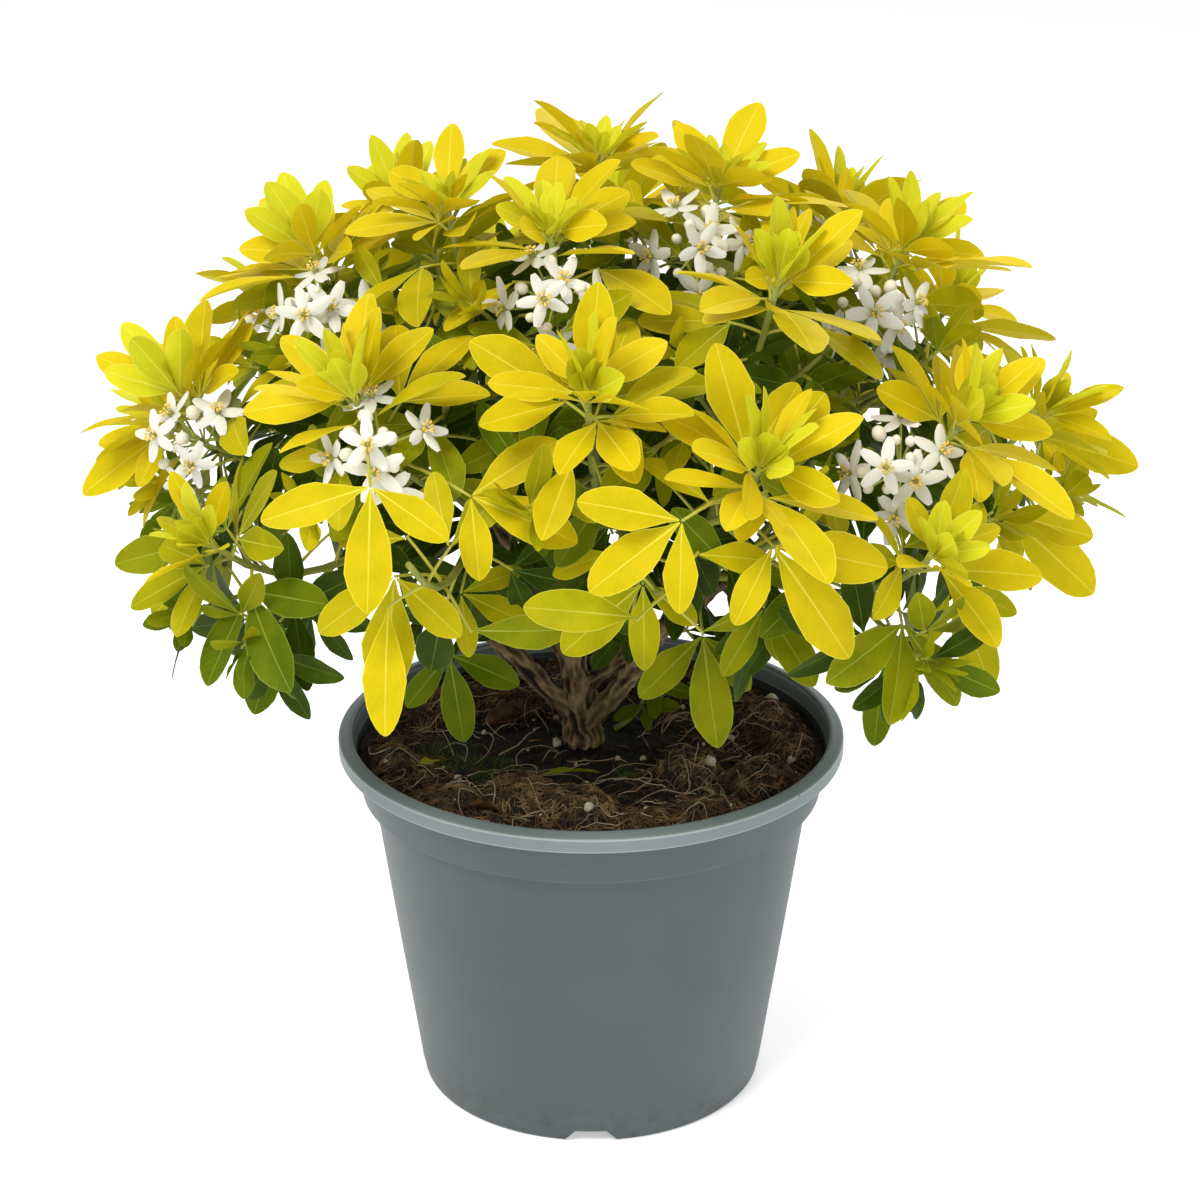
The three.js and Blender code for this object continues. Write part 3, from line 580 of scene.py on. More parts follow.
# %% Shoots, as in the part
DOME = {"reach": 226, "shift": 8, "middle": 312, "rise": 172}
HEM = {"lowest": 242, "at_axis": 196, "climb": 0.4, "side_from": 120, "side_climb": 0.32}
GAP = {"middle": -5, "half": 55, "soft": 30, "rise": 45}
SHOOT = {"tilt_at_reach": 36, "tilt_low": 22, "low_span": 70, "base": 2.8, "apart": 0.4, "seat": 0.5}
SHOOT.update({"start": 0.25, "upturn": 0.5})
MASSES = [
    ("top", "leader", -173, 482, 1, 15),
    ("crown_front", "bough_front", -20, 474, 2, 30),
    ("crown_left", "bough_front_left", -72, 473, 3, 150),
    ("crown_right", "leader", 86, 479, 4, 165),
    ("crown_back_right", "leader", 134, 430, 5, 60),
    ("crown_back_left", "bough_back_left", -140, 430, 6, 75),
    ("shoulder_left", "bough_left", -87, 446, 7, 30),
    ("shoulder_right", "bough_front_right", 40, 457, 8, 150),
    ("shoulder_far_right", "bough_right", 92, 444, 9, 150),
    ("shoulder_back", "bough_back", 178, 415, 10, 30),
    ("front", "bough_front", -3, 427, 11, 75),
    ("front_left", "bough_front_left", -39, 416, 12, 75),
    ("front_right", "bough_front", 20, 399, 13, 0),
    ("side_left", "bough_left", -81, 381, 33, 45),
    ("brow_right", "bough_front_right", 56, 396, 15, 0),
    ("side_right", "bough_right", 82, 372, 16, 120),
    ("side_back_right", "bough_back_right", 120, 386, 17, 105),
    ("back_right", "bough_back_right", 154, 366, 18, 120),
    ("back_left", "bough_back", -164, 370, 19, 150),
    ("side_back_left", "bough_back_left", -122, 390, 20, 165),
    ("skirt_left", "bough_left", -55, 342, 21, 135),
    ("skirt_front_left", "bough_front_left", -24, 361, 22, 45),
    ("skirt_front_right", "bough_front", 8, 364, 23, 45),
    ("skirt_right", "bough_front_right", 41, 350, 24, 60),
    ("skirt_back_right", "bough_right", 102, 322, 25, 135),
    ("skirt_back", "bough_back", 160, 320, 26, 15),
    ("skirt_back_left", "bough_back_left", -100, 345, 27, 135),
]
BLOOMS = {
    "crown_front": (5, -10),
    "crown_right": (5, 0),
    "crown_back_right": (4, 170),
    "shoulder_left": (5, -20),
    "shoulder_far_right": (5, -5),
    "shoulder_back": (4, 200),
    "front_left": (5, -10),
    "side_left": (4, -50),
    "brow_right": (5, -20),
    "back_right": (4, 140),
    "side_back_left": (4, -120),
}


DICE = {"spread": 7919, "offset": 12345, "factor": 16807, "sides": 2147483647}


def dice(seed):
    """The part's seeded chain of numbers from 0 to 1"""
    state = (seed * DICE["spread"] + DICE["offset"]) % DICE["sides"]

    def roll():
        nonlocal state
        state = state * DICE["factor"] % DICE["sides"]
        return state / DICE["sides"]

    roll()
    roll()
    return roll


def turned(vector, axis, degrees):
    """A vector turned about an axis"""
    return Quaternion(axis, math.radians(degrees)) @ vector


def side_of(direction):
    """A level direction square to another"""
    level = Vector((0, 0, 1)).cross(direction)
    return level.normalized() if level.length_squared > 1e-4 else Vector((1, 0, 0))


def shoot_tip(azimuth, height):
    """Where a shoot ends on the dome, as in the part"""
    above = max(0, height - DOME["middle"]) / DOME["rise"]
    reach = DOME["reach"] * math.sqrt(max(0.01, 1 - above * above))
    return polar(azimuth, reach, height) + Vector((DOME["shift"], 0, 0))


def shoot_direction(azimuth, height):
    tip = shoot_tip(azimuth, height)
    reach = math.hypot(tip.x - DOME["shift"], tip.y)
    low = min(1, max(0, (DOME["middle"] + SHOOT["low_span"] - height) / SHOOT["low_span"]))
    lean = math.radians(SHOOT["tilt_at_reach"] * reach / DOME["reach"] + SHOOT["tilt_low"] * low)
    return polar(azimuth, math.sin(lean), math.cos(lean))


def stem_limb(azimuth, height, bough, count, angle):
    end = bough_limb(bough)
    way = end.tangent(1)
    side = side_of(way)
    up = way.cross(side)
    offset = (SHOOT["base"] + SHOOT["apart"]) / math.sin(math.pi / count) if count > 1 else 0
    aside = side * offset * math.cos(angle)
    foot = end.at(1) + way * SHOOT["seat"] + aside + up * offset * math.sin(angle)
    tip = shoot_tip(azimuth, height)
    span = (tip - foot).length
    arrive = tip - shoot_direction(azimuth, height) * span * SHOOT["upturn"]
    return Limb(foot, foot + way * span * SHOOT["start"], arrive, tip)


def all_stems():
    stems = {}
    for bough_name, bough in BOUGHS.items():
        end = bough_limb(bough)
        way = end.tangent(1)
        side = side_of(way)
        up = way.cross(side)
        seated = []
        for name, on, azimuth, height, _, _ in MASSES:
            if on == bough_name:
                out = shoot_tip(azimuth, height) - end.at(1)
                seated.append((math.atan2(out.dot(up), out.dot(side)), name, azimuth, height))
        seated.sort()
        step = 2 * math.pi / len(seated)
        first = sum(seat[0] - rank * step for rank, seat in enumerate(seated)) / len(seated)
        for rank, (_, name, azimuth, height) in enumerate(seated):
            stems[name] = stem_limb(azimuth, height, bough, len(seated), first + rank * step)
    return stems


STEMS = all_stems()
HOMES = {name: shoot_tip(azimuth, height) for name, _, azimuth, height, _, _ in MASSES}
print("shoots", len(STEMS), "longest", round(max(stem.length for stem in STEMS.values())))

# %% [markdown]
# ## Copies by the hundred
# Leaves, petals, stalks and fibres repeat by the hundred. Each is modelled once as a small template. Its
# points are read into arrays, bent and placed for every copy at once, and written out as one joined mesh.


# %% Templates and joined copies
def read_array(items, key, size=1, kind=float):
    """One array of what a mesh's vertices, loops or faces hold"""
    values = np.empty(len(items) * size, kind)
    items.foreach_get(key, values)
    return values


def template_of(piece):
    """The arrays of a modelled template, which is then removed"""
    mesh = piece.data
    template = {
        "points": read_array(mesh.vertices, "co", 3).reshape(-1, 3) / MM,
        "loops": read_array(mesh.loops, "vertex_index", kind=np.int32),
        "starts": read_array(mesh.polygons, "loop_start", kind=np.int32),
        "slots": read_array(mesh.polygons, "material_index", kind=np.int32),
    }
    bpy.data.objects.remove(piece)
    return template


def joined(name, template, spots, materials):
    """One object from copies of a template. spots holds each copy's points, in millimetres."""
    copies, size, _ = spots.shape
    mesh = bpy.data.meshes.new(name)
    mesh.vertices.add(copies * size)
    mesh.vertices.foreach_set("co", (spots * MM).astype(np.float32).ravel())
    rank = np.arange(copies)[:, None]
    mesh.loops.add(copies * len(template["loops"]))
    mesh.loops.foreach_set("vertex_index", (template["loops"] + rank * size).ravel().astype(np.int32))
    mesh.polygons.add(copies * len(template["starts"]))
    starts = (template["starts"] + rank * len(template["loops"])).ravel().astype(np.int32)
    mesh.polygons.foreach_set("loop_start", starts)
    mesh.polygons.foreach_set("material_index", np.tile(template["slots"], copies))
    mesh.polygons.foreach_set("use_smooth", np.ones(len(starts), bool))
    mesh.update(calc_edges=True)
    mesh.validate()
    for material in materials:
        mesh.materials.append(material)
    piece = bpy.data.objects.new(name, mesh)
    bpy.context.collection.objects.link(piece)
    return piece


def unit(vectors):
    return vectors / np.maximum(np.linalg.norm(vectors, axis=-1, keepdims=True), 1e-9)


def tube_template(sides, steps):
    """A closed tube of radius 1 and length 1, in rings along z"""
    deselect_all()
    bpy.ops.mesh.primitive_cylinder_add(vertices=sides, radius=MM, depth=MM, location=(0, 0, MM / 2))
    tube = bpy.context.object
    bpy.ops.object.transform_apply(location=True)
    heights = [vertex.co.z for vertex in tube.data.vertices]
    pick(tube, "EDGE", lambda edge: abs(heights[edge.vertices[0]] - heights[edge.vertices[1]]) > MM / 2)
    if steps > 1:
        bpy.ops.mesh.subdivide(number_cuts=steps - 1)
    object_mode()
    return template_of(tube)


def bent_tubes(template, paths, radii):
    """The points of tubes that follow paths (copies, rings, 3) with radii (copies, rings)"""
    steps = paths.shape[1] - 1
    ahead = unit(np.gradient(paths, axis=1))
    side = np.cross(np.array([0.0, 0.0, 1.0]), ahead)
    flat = np.linalg.norm(side, axis=-1, keepdims=True) < 0.05
    side = unit(np.where(flat, np.array([1.0, 0.0, 0.0]), side))
    up = np.cross(ahead, side)
    ring = np.rint(template["points"][:, 2] * steps).astype(int)
    x = template["points"][:, 0, None]
    y = template["points"][:, 1, None]
    reach = radii[:, ring, None]
    return paths[:, ring] + side[:, ring] * x * reach + up[:, ring] * y * reach


def along(limb, steps, begin=0.0, end=1.0):
    """Places along a limb, evenly spaced"""
    return np.array([limb.at(begin + (end - begin) * i / steps) for i in range(steps + 1)])


six_sided = tube_template(sides=6, steps=4)
print("a tube of six sides and four steps has", len(six_sided["points"]), "points")

# %% [markdown]
# ## Trunk and boughs
# The wood is one skin on the real shrub: the boughs swell out of the trunk with no seam. Tubes along the
# rule's curves are joined, and a voxel remesh melts them into one body. Then bark is pushed out of the
# skin. It is read in each limb's own lengthwise and crosswise measure, so its ropes run along the wood.

# %% The wood as one body
BARK = {"voxel": 0.7, "relief": 1.3, "rope": 4.4, "strand": 1.8, "length": 6, "swell": 0.8}


def trunk_radius(share):
    """The trunk's radius at a share of its height, with the flare at its foot"""
    height = share * (TRUNK["fork"].z - TRUNK["foot"].z)
    flare = (TRUNK["foot_radius"] - TRUNK["waist"]) * math.exp(-2 * height / TRUNK["flare"])
    return TRUNK["waist"] + (TRUNK["top"] - TRUNK["waist"]) * share**1.6 + flare


RINGS = 14
limbs = [(trunk_limb(), [trunk_radius(i / RINGS) for i in range(RINGS + 1)])]
for bough in BOUGHS.values():
    tapered = [bough["radius"] * (1 + (BOUGH["tip"] - 1) * i / RINGS) for i in range(RINGS + 1)]
    limbs.append((bough_limb(bough), tapered))
wood_template = tube_template(sides=16, steps=RINGS)
paths = np.array([along(limb, RINGS) for limb, _ in limbs])
radii = np.array([radius for _, radius in limbs])
wood = joined("wood", wood_template, bent_tubes(wood_template, paths, radii), [])
remesh = wood.modifiers.new("melt", "REMESH")
remesh.mode = "VOXEL"
remesh.voxel_size = BARK["voxel"] * MM
soften = wood.modifiers.new("soften", "SMOOTH")
soften.factor = 0.5
soften.iterations = 4
apply_modifiers(wood)
print("wood points", len(wood.data.vertices))


# %% Bark pushed out of the skin
CALM = {"top": 330, "span": 90, "least": 0.4}
ALGAE = {"side": -3, "width": 9, "top": 232, "span": 40}
STEPS = 60
FLAT_END = 0.97


def wood_places(points):
    """Each point in the measure of its nearest limb: two offsets from the axis, and the length along it"""
    best = np.full(len(points), np.inf)
    places = np.zeros((len(points), 3))
    for rank, (limb, radius) in enumerate(limbs):
        path = along(limb, STEPS)
        ahead = unit(np.gradient(path, axis=0))
        side = unit(np.cross([0.0, 1.0, 0.0], ahead))
        up = np.cross(ahead, side)
        girth = np.interp(np.linspace(0, 1, STEPS + 1), np.linspace(0, 1, RINGS + 1), radius)
        apart = np.linalg.norm(points[:, None] - path[None], axis=-1) - girth
        spot = apart.argmin(axis=1)
        off = points - path[spot]
        run = limb.length * (spot / STEPS + rank) + (off * ahead[spot]).sum(axis=1)
        own = np.stack([(off * side[spot]).sum(axis=1), (off * up[spot]).sum(axis=1), run], axis=1)
        nearer = apart.min(axis=1) < best
        best = np.where(nearer, apart.min(axis=1), best)
        places = np.where(nearer[:, None], own, places)
    return places


SHARP = {"rope": 3.4, "strand": 3}
SHARES = {"rope": 0.7, "strand": 0.3, "crack": 0.25}
WARP = {"size": 9, "by": 0.5}
CRACK = {"across": 4, "along": 2.5}
SWELL_SIZE = 12
ALGAE_BASE = 0.6


def bark_ridge(place):
    """Ropes of bark along a limb, with finer strands on them and cracks across: about -1 to 1"""
    drawn = Vector((place.x, place.y, place.z / BARK["length"]))
    warp = noise.noise(place / WARP["size"]) * WARP["by"]
    rope = 1 - abs(noise.noise(drawn / BARK["rope"] + Vector((warp, warp, 0)))) * SHARP["rope"]
    strand = 1 - abs(noise.noise(drawn / BARK["strand"])) * SHARP["strand"]
    cracked = Vector((place.x / CRACK["across"], place.y / CRACK["across"], place.z / CRACK["along"]))
    return SHARES["rope"] * rope + SHARES["strand"] * strand + SHARES["crack"] * noise.noise(cracked)


points = read_array(wood.data.vertices, "co", 3).reshape(-1, 3) / MM
normals = read_array(wood.data.vertices, "normal", 3).reshape(-1, 3)
ridges = np.array([bark_ridge(Vector(place)) for place in wood_places(points)])
swells = np.array([noise.noise(Vector(point) / SWELL_SIZE) for point in points])
calm = np.clip((CALM["top"] - points[:, 2]) / CALM["span"], CALM["least"], 1)
ends = np.abs(normals[:, 2]) > FLAT_END
moved = points + normals * ((ridges * BARK["relief"] + swells * BARK["swell"]) * calm * ~ends)[:, None]
moved[:, 2] = np.maximum(moved[:, 2], SOIL)
wood.data.vertices.foreach_set("co", (moved * MM).ravel())
wood.data.update()
write_attribute(wood, "ridge", np.clip(0.5 + 0.5 * ridges, 0, 1))
one_side = np.clip((points[:, 0] - ALGAE["side"]) / ALGAE["width"], 0, 1)
low_down = np.clip((ALGAE["top"] - points[:, 2]) / ALGAE["span"], 0, 1)
write_attribute(wood, "algae", one_side * low_down * np.clip(ALGAE_BASE + swells, 0, 1))
make_active(wood)
bpy.ops.object.shade_smooth()
bark_tones = [(0, (60, 48, 34)), (1, (80, 66, 48))]
bark_bump = {"bump": 0.7, "bump_scale": 1200, "bump_size": 0.0006}
bark = finish("bark", bark_tones, scale=300, roughness=0.85, gloss=0.25, **bark_bump)
tree = bark.node_tree
ridge_stops = [(0.25, (30, 23, 14)), (0.5, (76, 60, 39)), (0.72, (118, 97, 67)), (0.95, (158, 134, 98))]
ridge_colours = ramp_colour(tree, stored_value(tree, "ridge"), ridge_stops)
tree.links.new(ridge_colours, tree.nodes["Principled BSDF"].inputs["Base Color"])
mix_in(tree, stored_value(tree, "algae"), (74, 88, 26))
wood.data.materials.append(bark)
settle(wood, "trunk_and_boughs", "bark", "trunk", *BOUGHS)

# %% [markdown]
# ## Leaflet
# A leaflet is a thin blade about 55 mm long, widest past its middle, with a wedge foot and a rounded tip.
# It has a pale midrib and a thin pale margin. It is a flat grid whose lines are slid to the outline. The
# rib and the margin are strips of faces with a paler finish, which stay in place on every copy. The fold,
# the arch and the wavy edge of each copy come later, with its place.

# %% One leaflet, modelled flat
LEAFLET = {"length": 55, "width": 0.39, "belly": 0.58, "rib": 0.5, "margin": 0.4}
OUTLINE = {"wedge": 1.25, "taper": 1.9, "round": 0.6, "least": 0.045}
ROWS = [0, 0.1, 0.2, 0.32, 0.44, 0.56, 0.68, 0.79, 0.88, 0.945, 0.985, 1]
STRIPS = [-1, -0.93, -0.5, -0.05, 0.05, 0.5, 0.93, 1]


def outline(share):
    """Half width of a leaflet as a share of its length: a wedge up to its belly, then a rounded tip"""
    if share < LEAFLET["belly"]:
        full = math.sin(math.pi / 2 * share / LEAFLET["belly"]) ** OUTLINE["wedge"]
    else:
        past = min(1, (share - LEAFLET["belly"]) / (1 - LEAFLET["belly"]))
        full = (1 - past ** OUTLINE["taper"]) ** OUTLINE["round"]
    return LEAFLET["width"] / 2 * max(OUTLINE["least"], full)


def leaflet_template():
    length = LEAFLET["length"]
    deselect_all()
    bpy.ops.mesh.primitive_grid_add(x_subdivisions=len(ROWS) - 1, y_subdivisions=len(STRIPS) - 1, size=1)
    blade = bpy.context.object
    strip_of = [round((vertex.co.y + 0.5) * (len(STRIPS) - 1)) for vertex in blade.data.vertices]
    for vertex, rank in zip(blade.data.vertices, strip_of):
        row = ROWS[round((vertex.co.x + 0.5) * (len(ROWS) - 1))]
        strip = STRIPS[rank]
        half = outline(row) * length
        across = strip * half
        if 0.9 < abs(strip) < 1:
            across = math.copysign(max(half * 0.5, half - LEAFLET["margin"]), strip)
        if abs(strip) < 0.1:
            across = math.copysign(min(half * 0.4, LEAFLET["rib"] * (1.1 - 0.8 * row)), strip)
        vertex.co = Vector((row * length, across, 0)) * MM
    for face in blade.data.polygons:
        first_strip = min(strip_of[i] for i in face.vertices)
        face.material_index = 1 if first_strip in (0, 3, 6) else 0
    return template_of(blade)


leaflet = leaflet_template()
print("leaflet faces", len(leaflet["starts"]))


RIPPLES = [(0.035, 12, 1), (0.02, 22, 2)]
EDGE_WAVES = 9


def bent_leaflets(template, rows):
    """The points of leaflets from rows of hub, way, face, length, width, arch, fold, twist and wave"""
    hub = np.array([row["hub"] for row in rows])[:, None]
    way = np.array([row["way"] for row in rows])[:, None]
    face = np.array([row["face"] for row in rows])[:, None]
    beside = np.cross(face, way)

    def column(key):
        return np.array([row[key] for row in rows])[:, None]

    u = template["points"][None, :, 0] / LEAFLET["length"]
    across = template["points"][None, :, 1] / LEAFLET["length"] * column("length") * column("width")
    ripple = sum(size * np.sin(u * waves + times * column("phase")) for size, waves, times in RIPPLES)
    across = across * (1 + ripple)
    lift = template["points"][None, :, 2]
    share = np.abs(template["points"][None, :, 1]) / LEAFLET["length"] / (LEAFLET["width"] / 2)
    angle = column("twist") * u
    wavy = np.sin(u * EDGE_WAVES + column("phase")) * share**2 * column("wave") * np.sign(across)
    height = lift + column("fold") * np.abs(across) - column("arch") * column("length") * u**2 + wavy
    reach = u * column("length") * (1 - 0.3 * column("arch") ** 2 * u)
    turned_across = across * np.cos(angle) - height * np.sin(angle) * 0.5
    turned_height = height + across * np.sin(angle)
    stay = 1.2 * (1 - u)
    return (
        hub
        + way * (reach + stay)[..., None]
        + beside * turned_across[..., None]
        + face * turned_height[..., None]
    )


# %% [markdown]
# ## The crown
# Each shoot carries a tight tuft of young leaves at its tip, four pairs of full leaves below it, and older,
# greener leaves further in, made darker there as painted shade. Side shoots end in smaller tufts between
# the main ones. Leaves stand in crossed pairs. A leaf keeps to its own shoot's space with a little overlap,
# stays above the hem where the trunk shows, and leaves room in front of the flowers. Low at the sides the
# crown is open: the leaves are smaller and fewer there, and older, with darker tones as painted shade.

# %% How leaves stand on a shoot
PAIR_SIZES = ["down", "spread", "stalk", "blade", "droop", "fan"]


def pairs_of(*rows):
    """Pairs of leaves from rows of their sizes, where the fan may be left out"""
    return [dict(zip(PAIR_SIZES, row)) for row in rows]


PAIRS = pairs_of((4, 38, 8, 44, 0), (12, 54, 12, 56, 8), (26, 72, 20, 62, 22), (54, 80, 28, 59, 42))
YOUNG_PAIRS = pairs_of((-1, 8, 3, 27, -4, 20), (0.5, 19, 5, 41, -2, 32))
FLAT_YOUNG_PAIRS = pairs_of((-1, 24, 3, 22, 4, 24), (0.5, 40, 4, 32, 4, 36))
BETWEEN_PAIRS = pairs_of((8, 60, 10, 48, 4))
INNER_PAIRS = pairs_of(
    (40, 74, 22, 56, 34),
    (70, 72, 24, 54, 40),
    (88, 70, 24, 50, 40),
    (108, 70, 22, 46, 35),
    (128, 68, 20, 44, 30),
    (150, 66, 18, 42, 25),
)
TUFT_PAIRS = pairs_of((0, 16, 3, 28, -4), (4, 36, 8, 42, 4), (12, 56, 13, 50, 14), (26, 72, 17, 50, 30))
BOUGH_PAIRS = pairs_of((4, 66, 16, 44, 10), (24, 70, 18, 42, 10), (44, 74, 16, 38, 5))
BETWEEN_TURN = 45
INNER_TURN = 30
SIDE_SHOOTS = [(52, 20, 50, 52), (66, 157, 58, 54), (82, 265, 60, 56), (100, 65, 56, 58)]
SIDE = {"gap": 44, "tries": 8, "step": 45, "vary": 12, "curl": 0.45, "deepest": 0.85, "over_hem": 20}
SIDE["outmost"] = 0.98
TWIG_RADII = {"stem": (2.6, 1.5), "side": (1.5, 1.1), "sprout": (1.6, 1.1)}
# Steps of tone for a leaf's place: partly its age, partly painted shade further into the crown and low down.
AGE_AND_SHADE = {"step": 0.22, "between": 0.3, "tuft": 1.1, "inner": 2.5, "bough": 4, "low": 0.4, "older": 0.12}
LEAF = {"fan": 52, "side_share": 0.86, "sink": 1.6, "slack": 10, "dip": 0.1, "sizes": [1, 0.82, 0.66]}
LEAF.update({"end_room": 6, "stalk_arch": 0.06, "stalk_in": 1.5})
VARY = {"spread": 14, "stalk": 0.3, "droop": 12, "blade": 0.22, "fan": 8, "roll": 24}
YOUNG_BEND = {"arch": (0.02, 0.06), "fold": (0.12, 0.34)}
FULL_BEND = {"arch": (0.05, 0.19), "fold": (0.08, 0.36)}
# Open shoots have smaller leaves, and their tones are made darker as painted shade.
OPEN_SHOOTS = ["side_right", "skirt_right", "skirt_left", "skirt_back_left", "skirt_back_right"]
OPEN = {"size": 0.84, "age_and_shade": 0.9, "side_shoots": 2}
HUNG_SHOOTS = ["skirt_front_left", "skirt_front_right"]
FLAT_ABOVE = 465
SPARSE_BELOW = 380
LOW_BELOW = 360
CROWN = {"middle": 300, "rise": 196, "drop": 150, "reach": 240}
CLEAR = {"behind": -6, "ahead": 70}
chance = np.random.default_rng(11)
leaves = []
stalks = []
twigs = []
clusters = []


def dome_share(place):
    """How far out a place is: 1 on the crown's surface"""
    up = place.z - CROWN["middle"]
    height = up / (CROWN["rise"] if up > 0 else CROWN["drop"])
    return math.hypot((place.x - DOME["shift"]) / CROWN["reach"], place.y / CROWN["reach"], height)


def hem_height(place):
    """The lowest that a leaf may reach at a place: higher at the front gap, and climbing to the sides"""
    aside = abs(place.x - GAP["middle"])
    share = min(1, max(0, (aside - GAP["half"]) / GAP["soft"]))
    opened = 1 - share * share * (3 - 2 * share)
    at_side = HEM["side_climb"] * max(0, abs(place.x - DOME["shift"]) - HEM["side_from"])
    return max(HEM["lowest"], HEM["at_axis"] + GAP["rise"] * opened - HEM["climb"] * place.y) + at_side


def in_own_space(place, name, slack):
    """Whether a place is nearer to its own shoot's tip than to another's, give or take the slack"""
    if name in BOUGHS:
        return True
    home = HOMES[name]
    own = (place - home).length_squared
    for other, there in HOMES.items():
        if other != name:
            inside = ((place - there).length_squared - own) / (2 * (home - there).length)
            if inside < -slack:
                return False
    return True


def hides_flowers(place):
    """Whether a place is in front of a flower head"""
    for centre, way, spread in clusters:
        out = place - centre
        ahead = out.dot(way)
        aside = (out - way * ahead).length
        if CLEAR["behind"] < ahead < CLEAR["ahead"] and aside < spread:
            return True
    return False


def leaf_plan(point, tangent, roll, pair, roller):
    """One leaf of the part's rule: its root, its hub, the way and face of its middle leaflet, its leaflets"""

    def vary(key):
        return VARY[key] * (roller() - 0.5)

    side = turned(side_of(tangent), tangent, roll)
    axis = tangent.cross(side).normalized()
    way = turned(tangent, axis, pair["spread"] + vary("spread"))
    hinge = way.cross(tangent).normalized()
    hub = point + way * pair["stalk"] * (1 + vary("stalk"))
    middle = turned(way, hinge, -(pair["droop"] + vary("droop")))
    face = hinge.cross(middle).normalized()
    blade = pair["blade"] * (1 + vary("blade"))
    leaflets = []
    for hand in (-1, 0, 1):
        angle = hand * pair.get("fan", LEAF["fan"]) + vary("fan")
        leaflets.append((angle, blade * (LEAF["side_share"] if hand else 1)))
    root = point - way * LEAF["sink"]
    return {"root": root, "hub": hub, "middle": middle, "face": face, "leaflets": leaflets}


print("share of the dome at the top shoot", round(dome_share(HOMES["top"]), 2))

# %% [markdown]
# No leaf should cut through another. Each blade that is placed is remembered as a flat outline from its
# foot to its tip. A new one is refused where its midrib or its edges would pass through an older blade, or
# an older midrib through it. Only the blades within reach are tested.


# %% Blades that don't cross
HALVES = [outline(row) for row in ROWS]
TOUCHING = 0.08
EDGE_SHARE = 0.4


def pierces(start, end, foot, tip, face):
    """Whether segments from start to end pass through blades from foot to tip, for arrays of either"""
    reach = tip - foot
    length = np.linalg.norm(reach, axis=-1)
    upright = unit(face - reach * ((face * reach).sum(-1) / length**2)[..., None])
    side = np.cross(upright, reach) / length[..., None]
    before = ((start - foot) * upright).sum(-1)
    after = ((end - foot) * upright).sum(-1)
    share = before / np.where(before == after, 1, before - after)
    meet = start + (end - start) * share[..., None] - foot
    run = (meet * reach).sum(-1) / length**2
    aside = np.abs((meet * side).sum(-1)) / length
    half = np.interp(run, ROWS, HALVES)
    return (before * after < 0) & (run > TOUCHING) & (run < 1) & (aside < half)


class Canopy:
    """The blades placed so far, as arrays of feet, tips and faces"""

    def __init__(self, room, near):
        self.rows = np.zeros((3, room, 3))
        self.count = 0
        self.near = near

    def add(self, foot, tip, face):
        self.rows[:, self.count] = (foot, tip, face)
        self.count += 1

    def crossed_by(self, foot, tip, face):
        foot, tip, face = np.array(foot), np.array(tip), np.array(face)
        feet, tips, faces = self.rows[:, : self.count]
        close = np.linalg.norm(feet - foot, axis=1) < self.near
        feet, tips, faces = feet[close], tips[close], faces[close]
        edge = np.cross(face, tip - foot) * LEAFLET["width"] * EDGE_SHARE
        belly = foot + (tip - foot) * LEAFLET["belly"]
        starts = np.array([foot, foot, foot, belly + edge, belly - edge])[:, None]
        ends = np.array([tip, belly + edge, belly - edge, tip, tip])[:, None]
        if pierces(starts, ends, feet, tips, faces).any():
            return True
        return bool(pierces(feet, tips, foot[None], tip[None], face[None]).any())


canopy = Canopy(room=6000, near=130)

# %% Colour by place
# Tones from bright gold to dark green. The leaves are golden in the light and greener in shade. The darker
# tones inside and low down are also painted shade, and the lighter tones high up are painted light.
TONES = ["young", "gold_bright", "gold", "gold_deep", "olive", "lime", "green", "dark"]
SHADE = {"edge": 0.98, "inward": 13.5, "vary": 0.45}
LOW_SHADE = {"below": 350, "step": 32}
HIGH_LIGHT = {"above": 425, "step": 35}


def tone_at(place, age_and_shade):
    """A tone's rank: golden where the light falls, greener further in, lower down and with age; the darker
    tones further in and low down are partly painted shade, and the lighter tones high up are painted light
    """
    shade = max(0, SHADE["edge"] - dome_share(place)) * SHADE["inward"] + age_and_shade
    low = max(0, LOW_SHADE["below"] - place.z) / LOW_SHADE["step"]
    shade += low - max(0, place.z - HIGH_LIGHT["above"]) / HIGH_LIGHT["step"]
    shade += chance.normal(0, SHADE["vary"])
    return 1 + int(min(len(TONES) - 2, max(0, round(shade))))


BLADE_VARY = {"width": (0.9, 1.1), "twist": 0.16, "wave": (0.2, 0.8), "phase": (0, 6)}


def add_leaflet(hub, way, face, length, arch, fold, tone):
    """Adds a leaflet's row to the leaves, and its blade to the canopy"""
    row = {"hub": hub, "way": way, "face": face, "length": length, "arch": arch, "fold": fold, "tone": tone}
    row["width"] = chance.uniform(*BLADE_VARY["width"])
    row["twist"] = chance.normal(0, BLADE_VARY["twist"])
    row["wave"] = chance.uniform(*BLADE_VARY["wave"])
    row["phase"] = chance.uniform(*BLADE_VARY["phase"])
    leaves.append(row)
    canopy.add(hub, hub + way * length - face * length * arch, face)


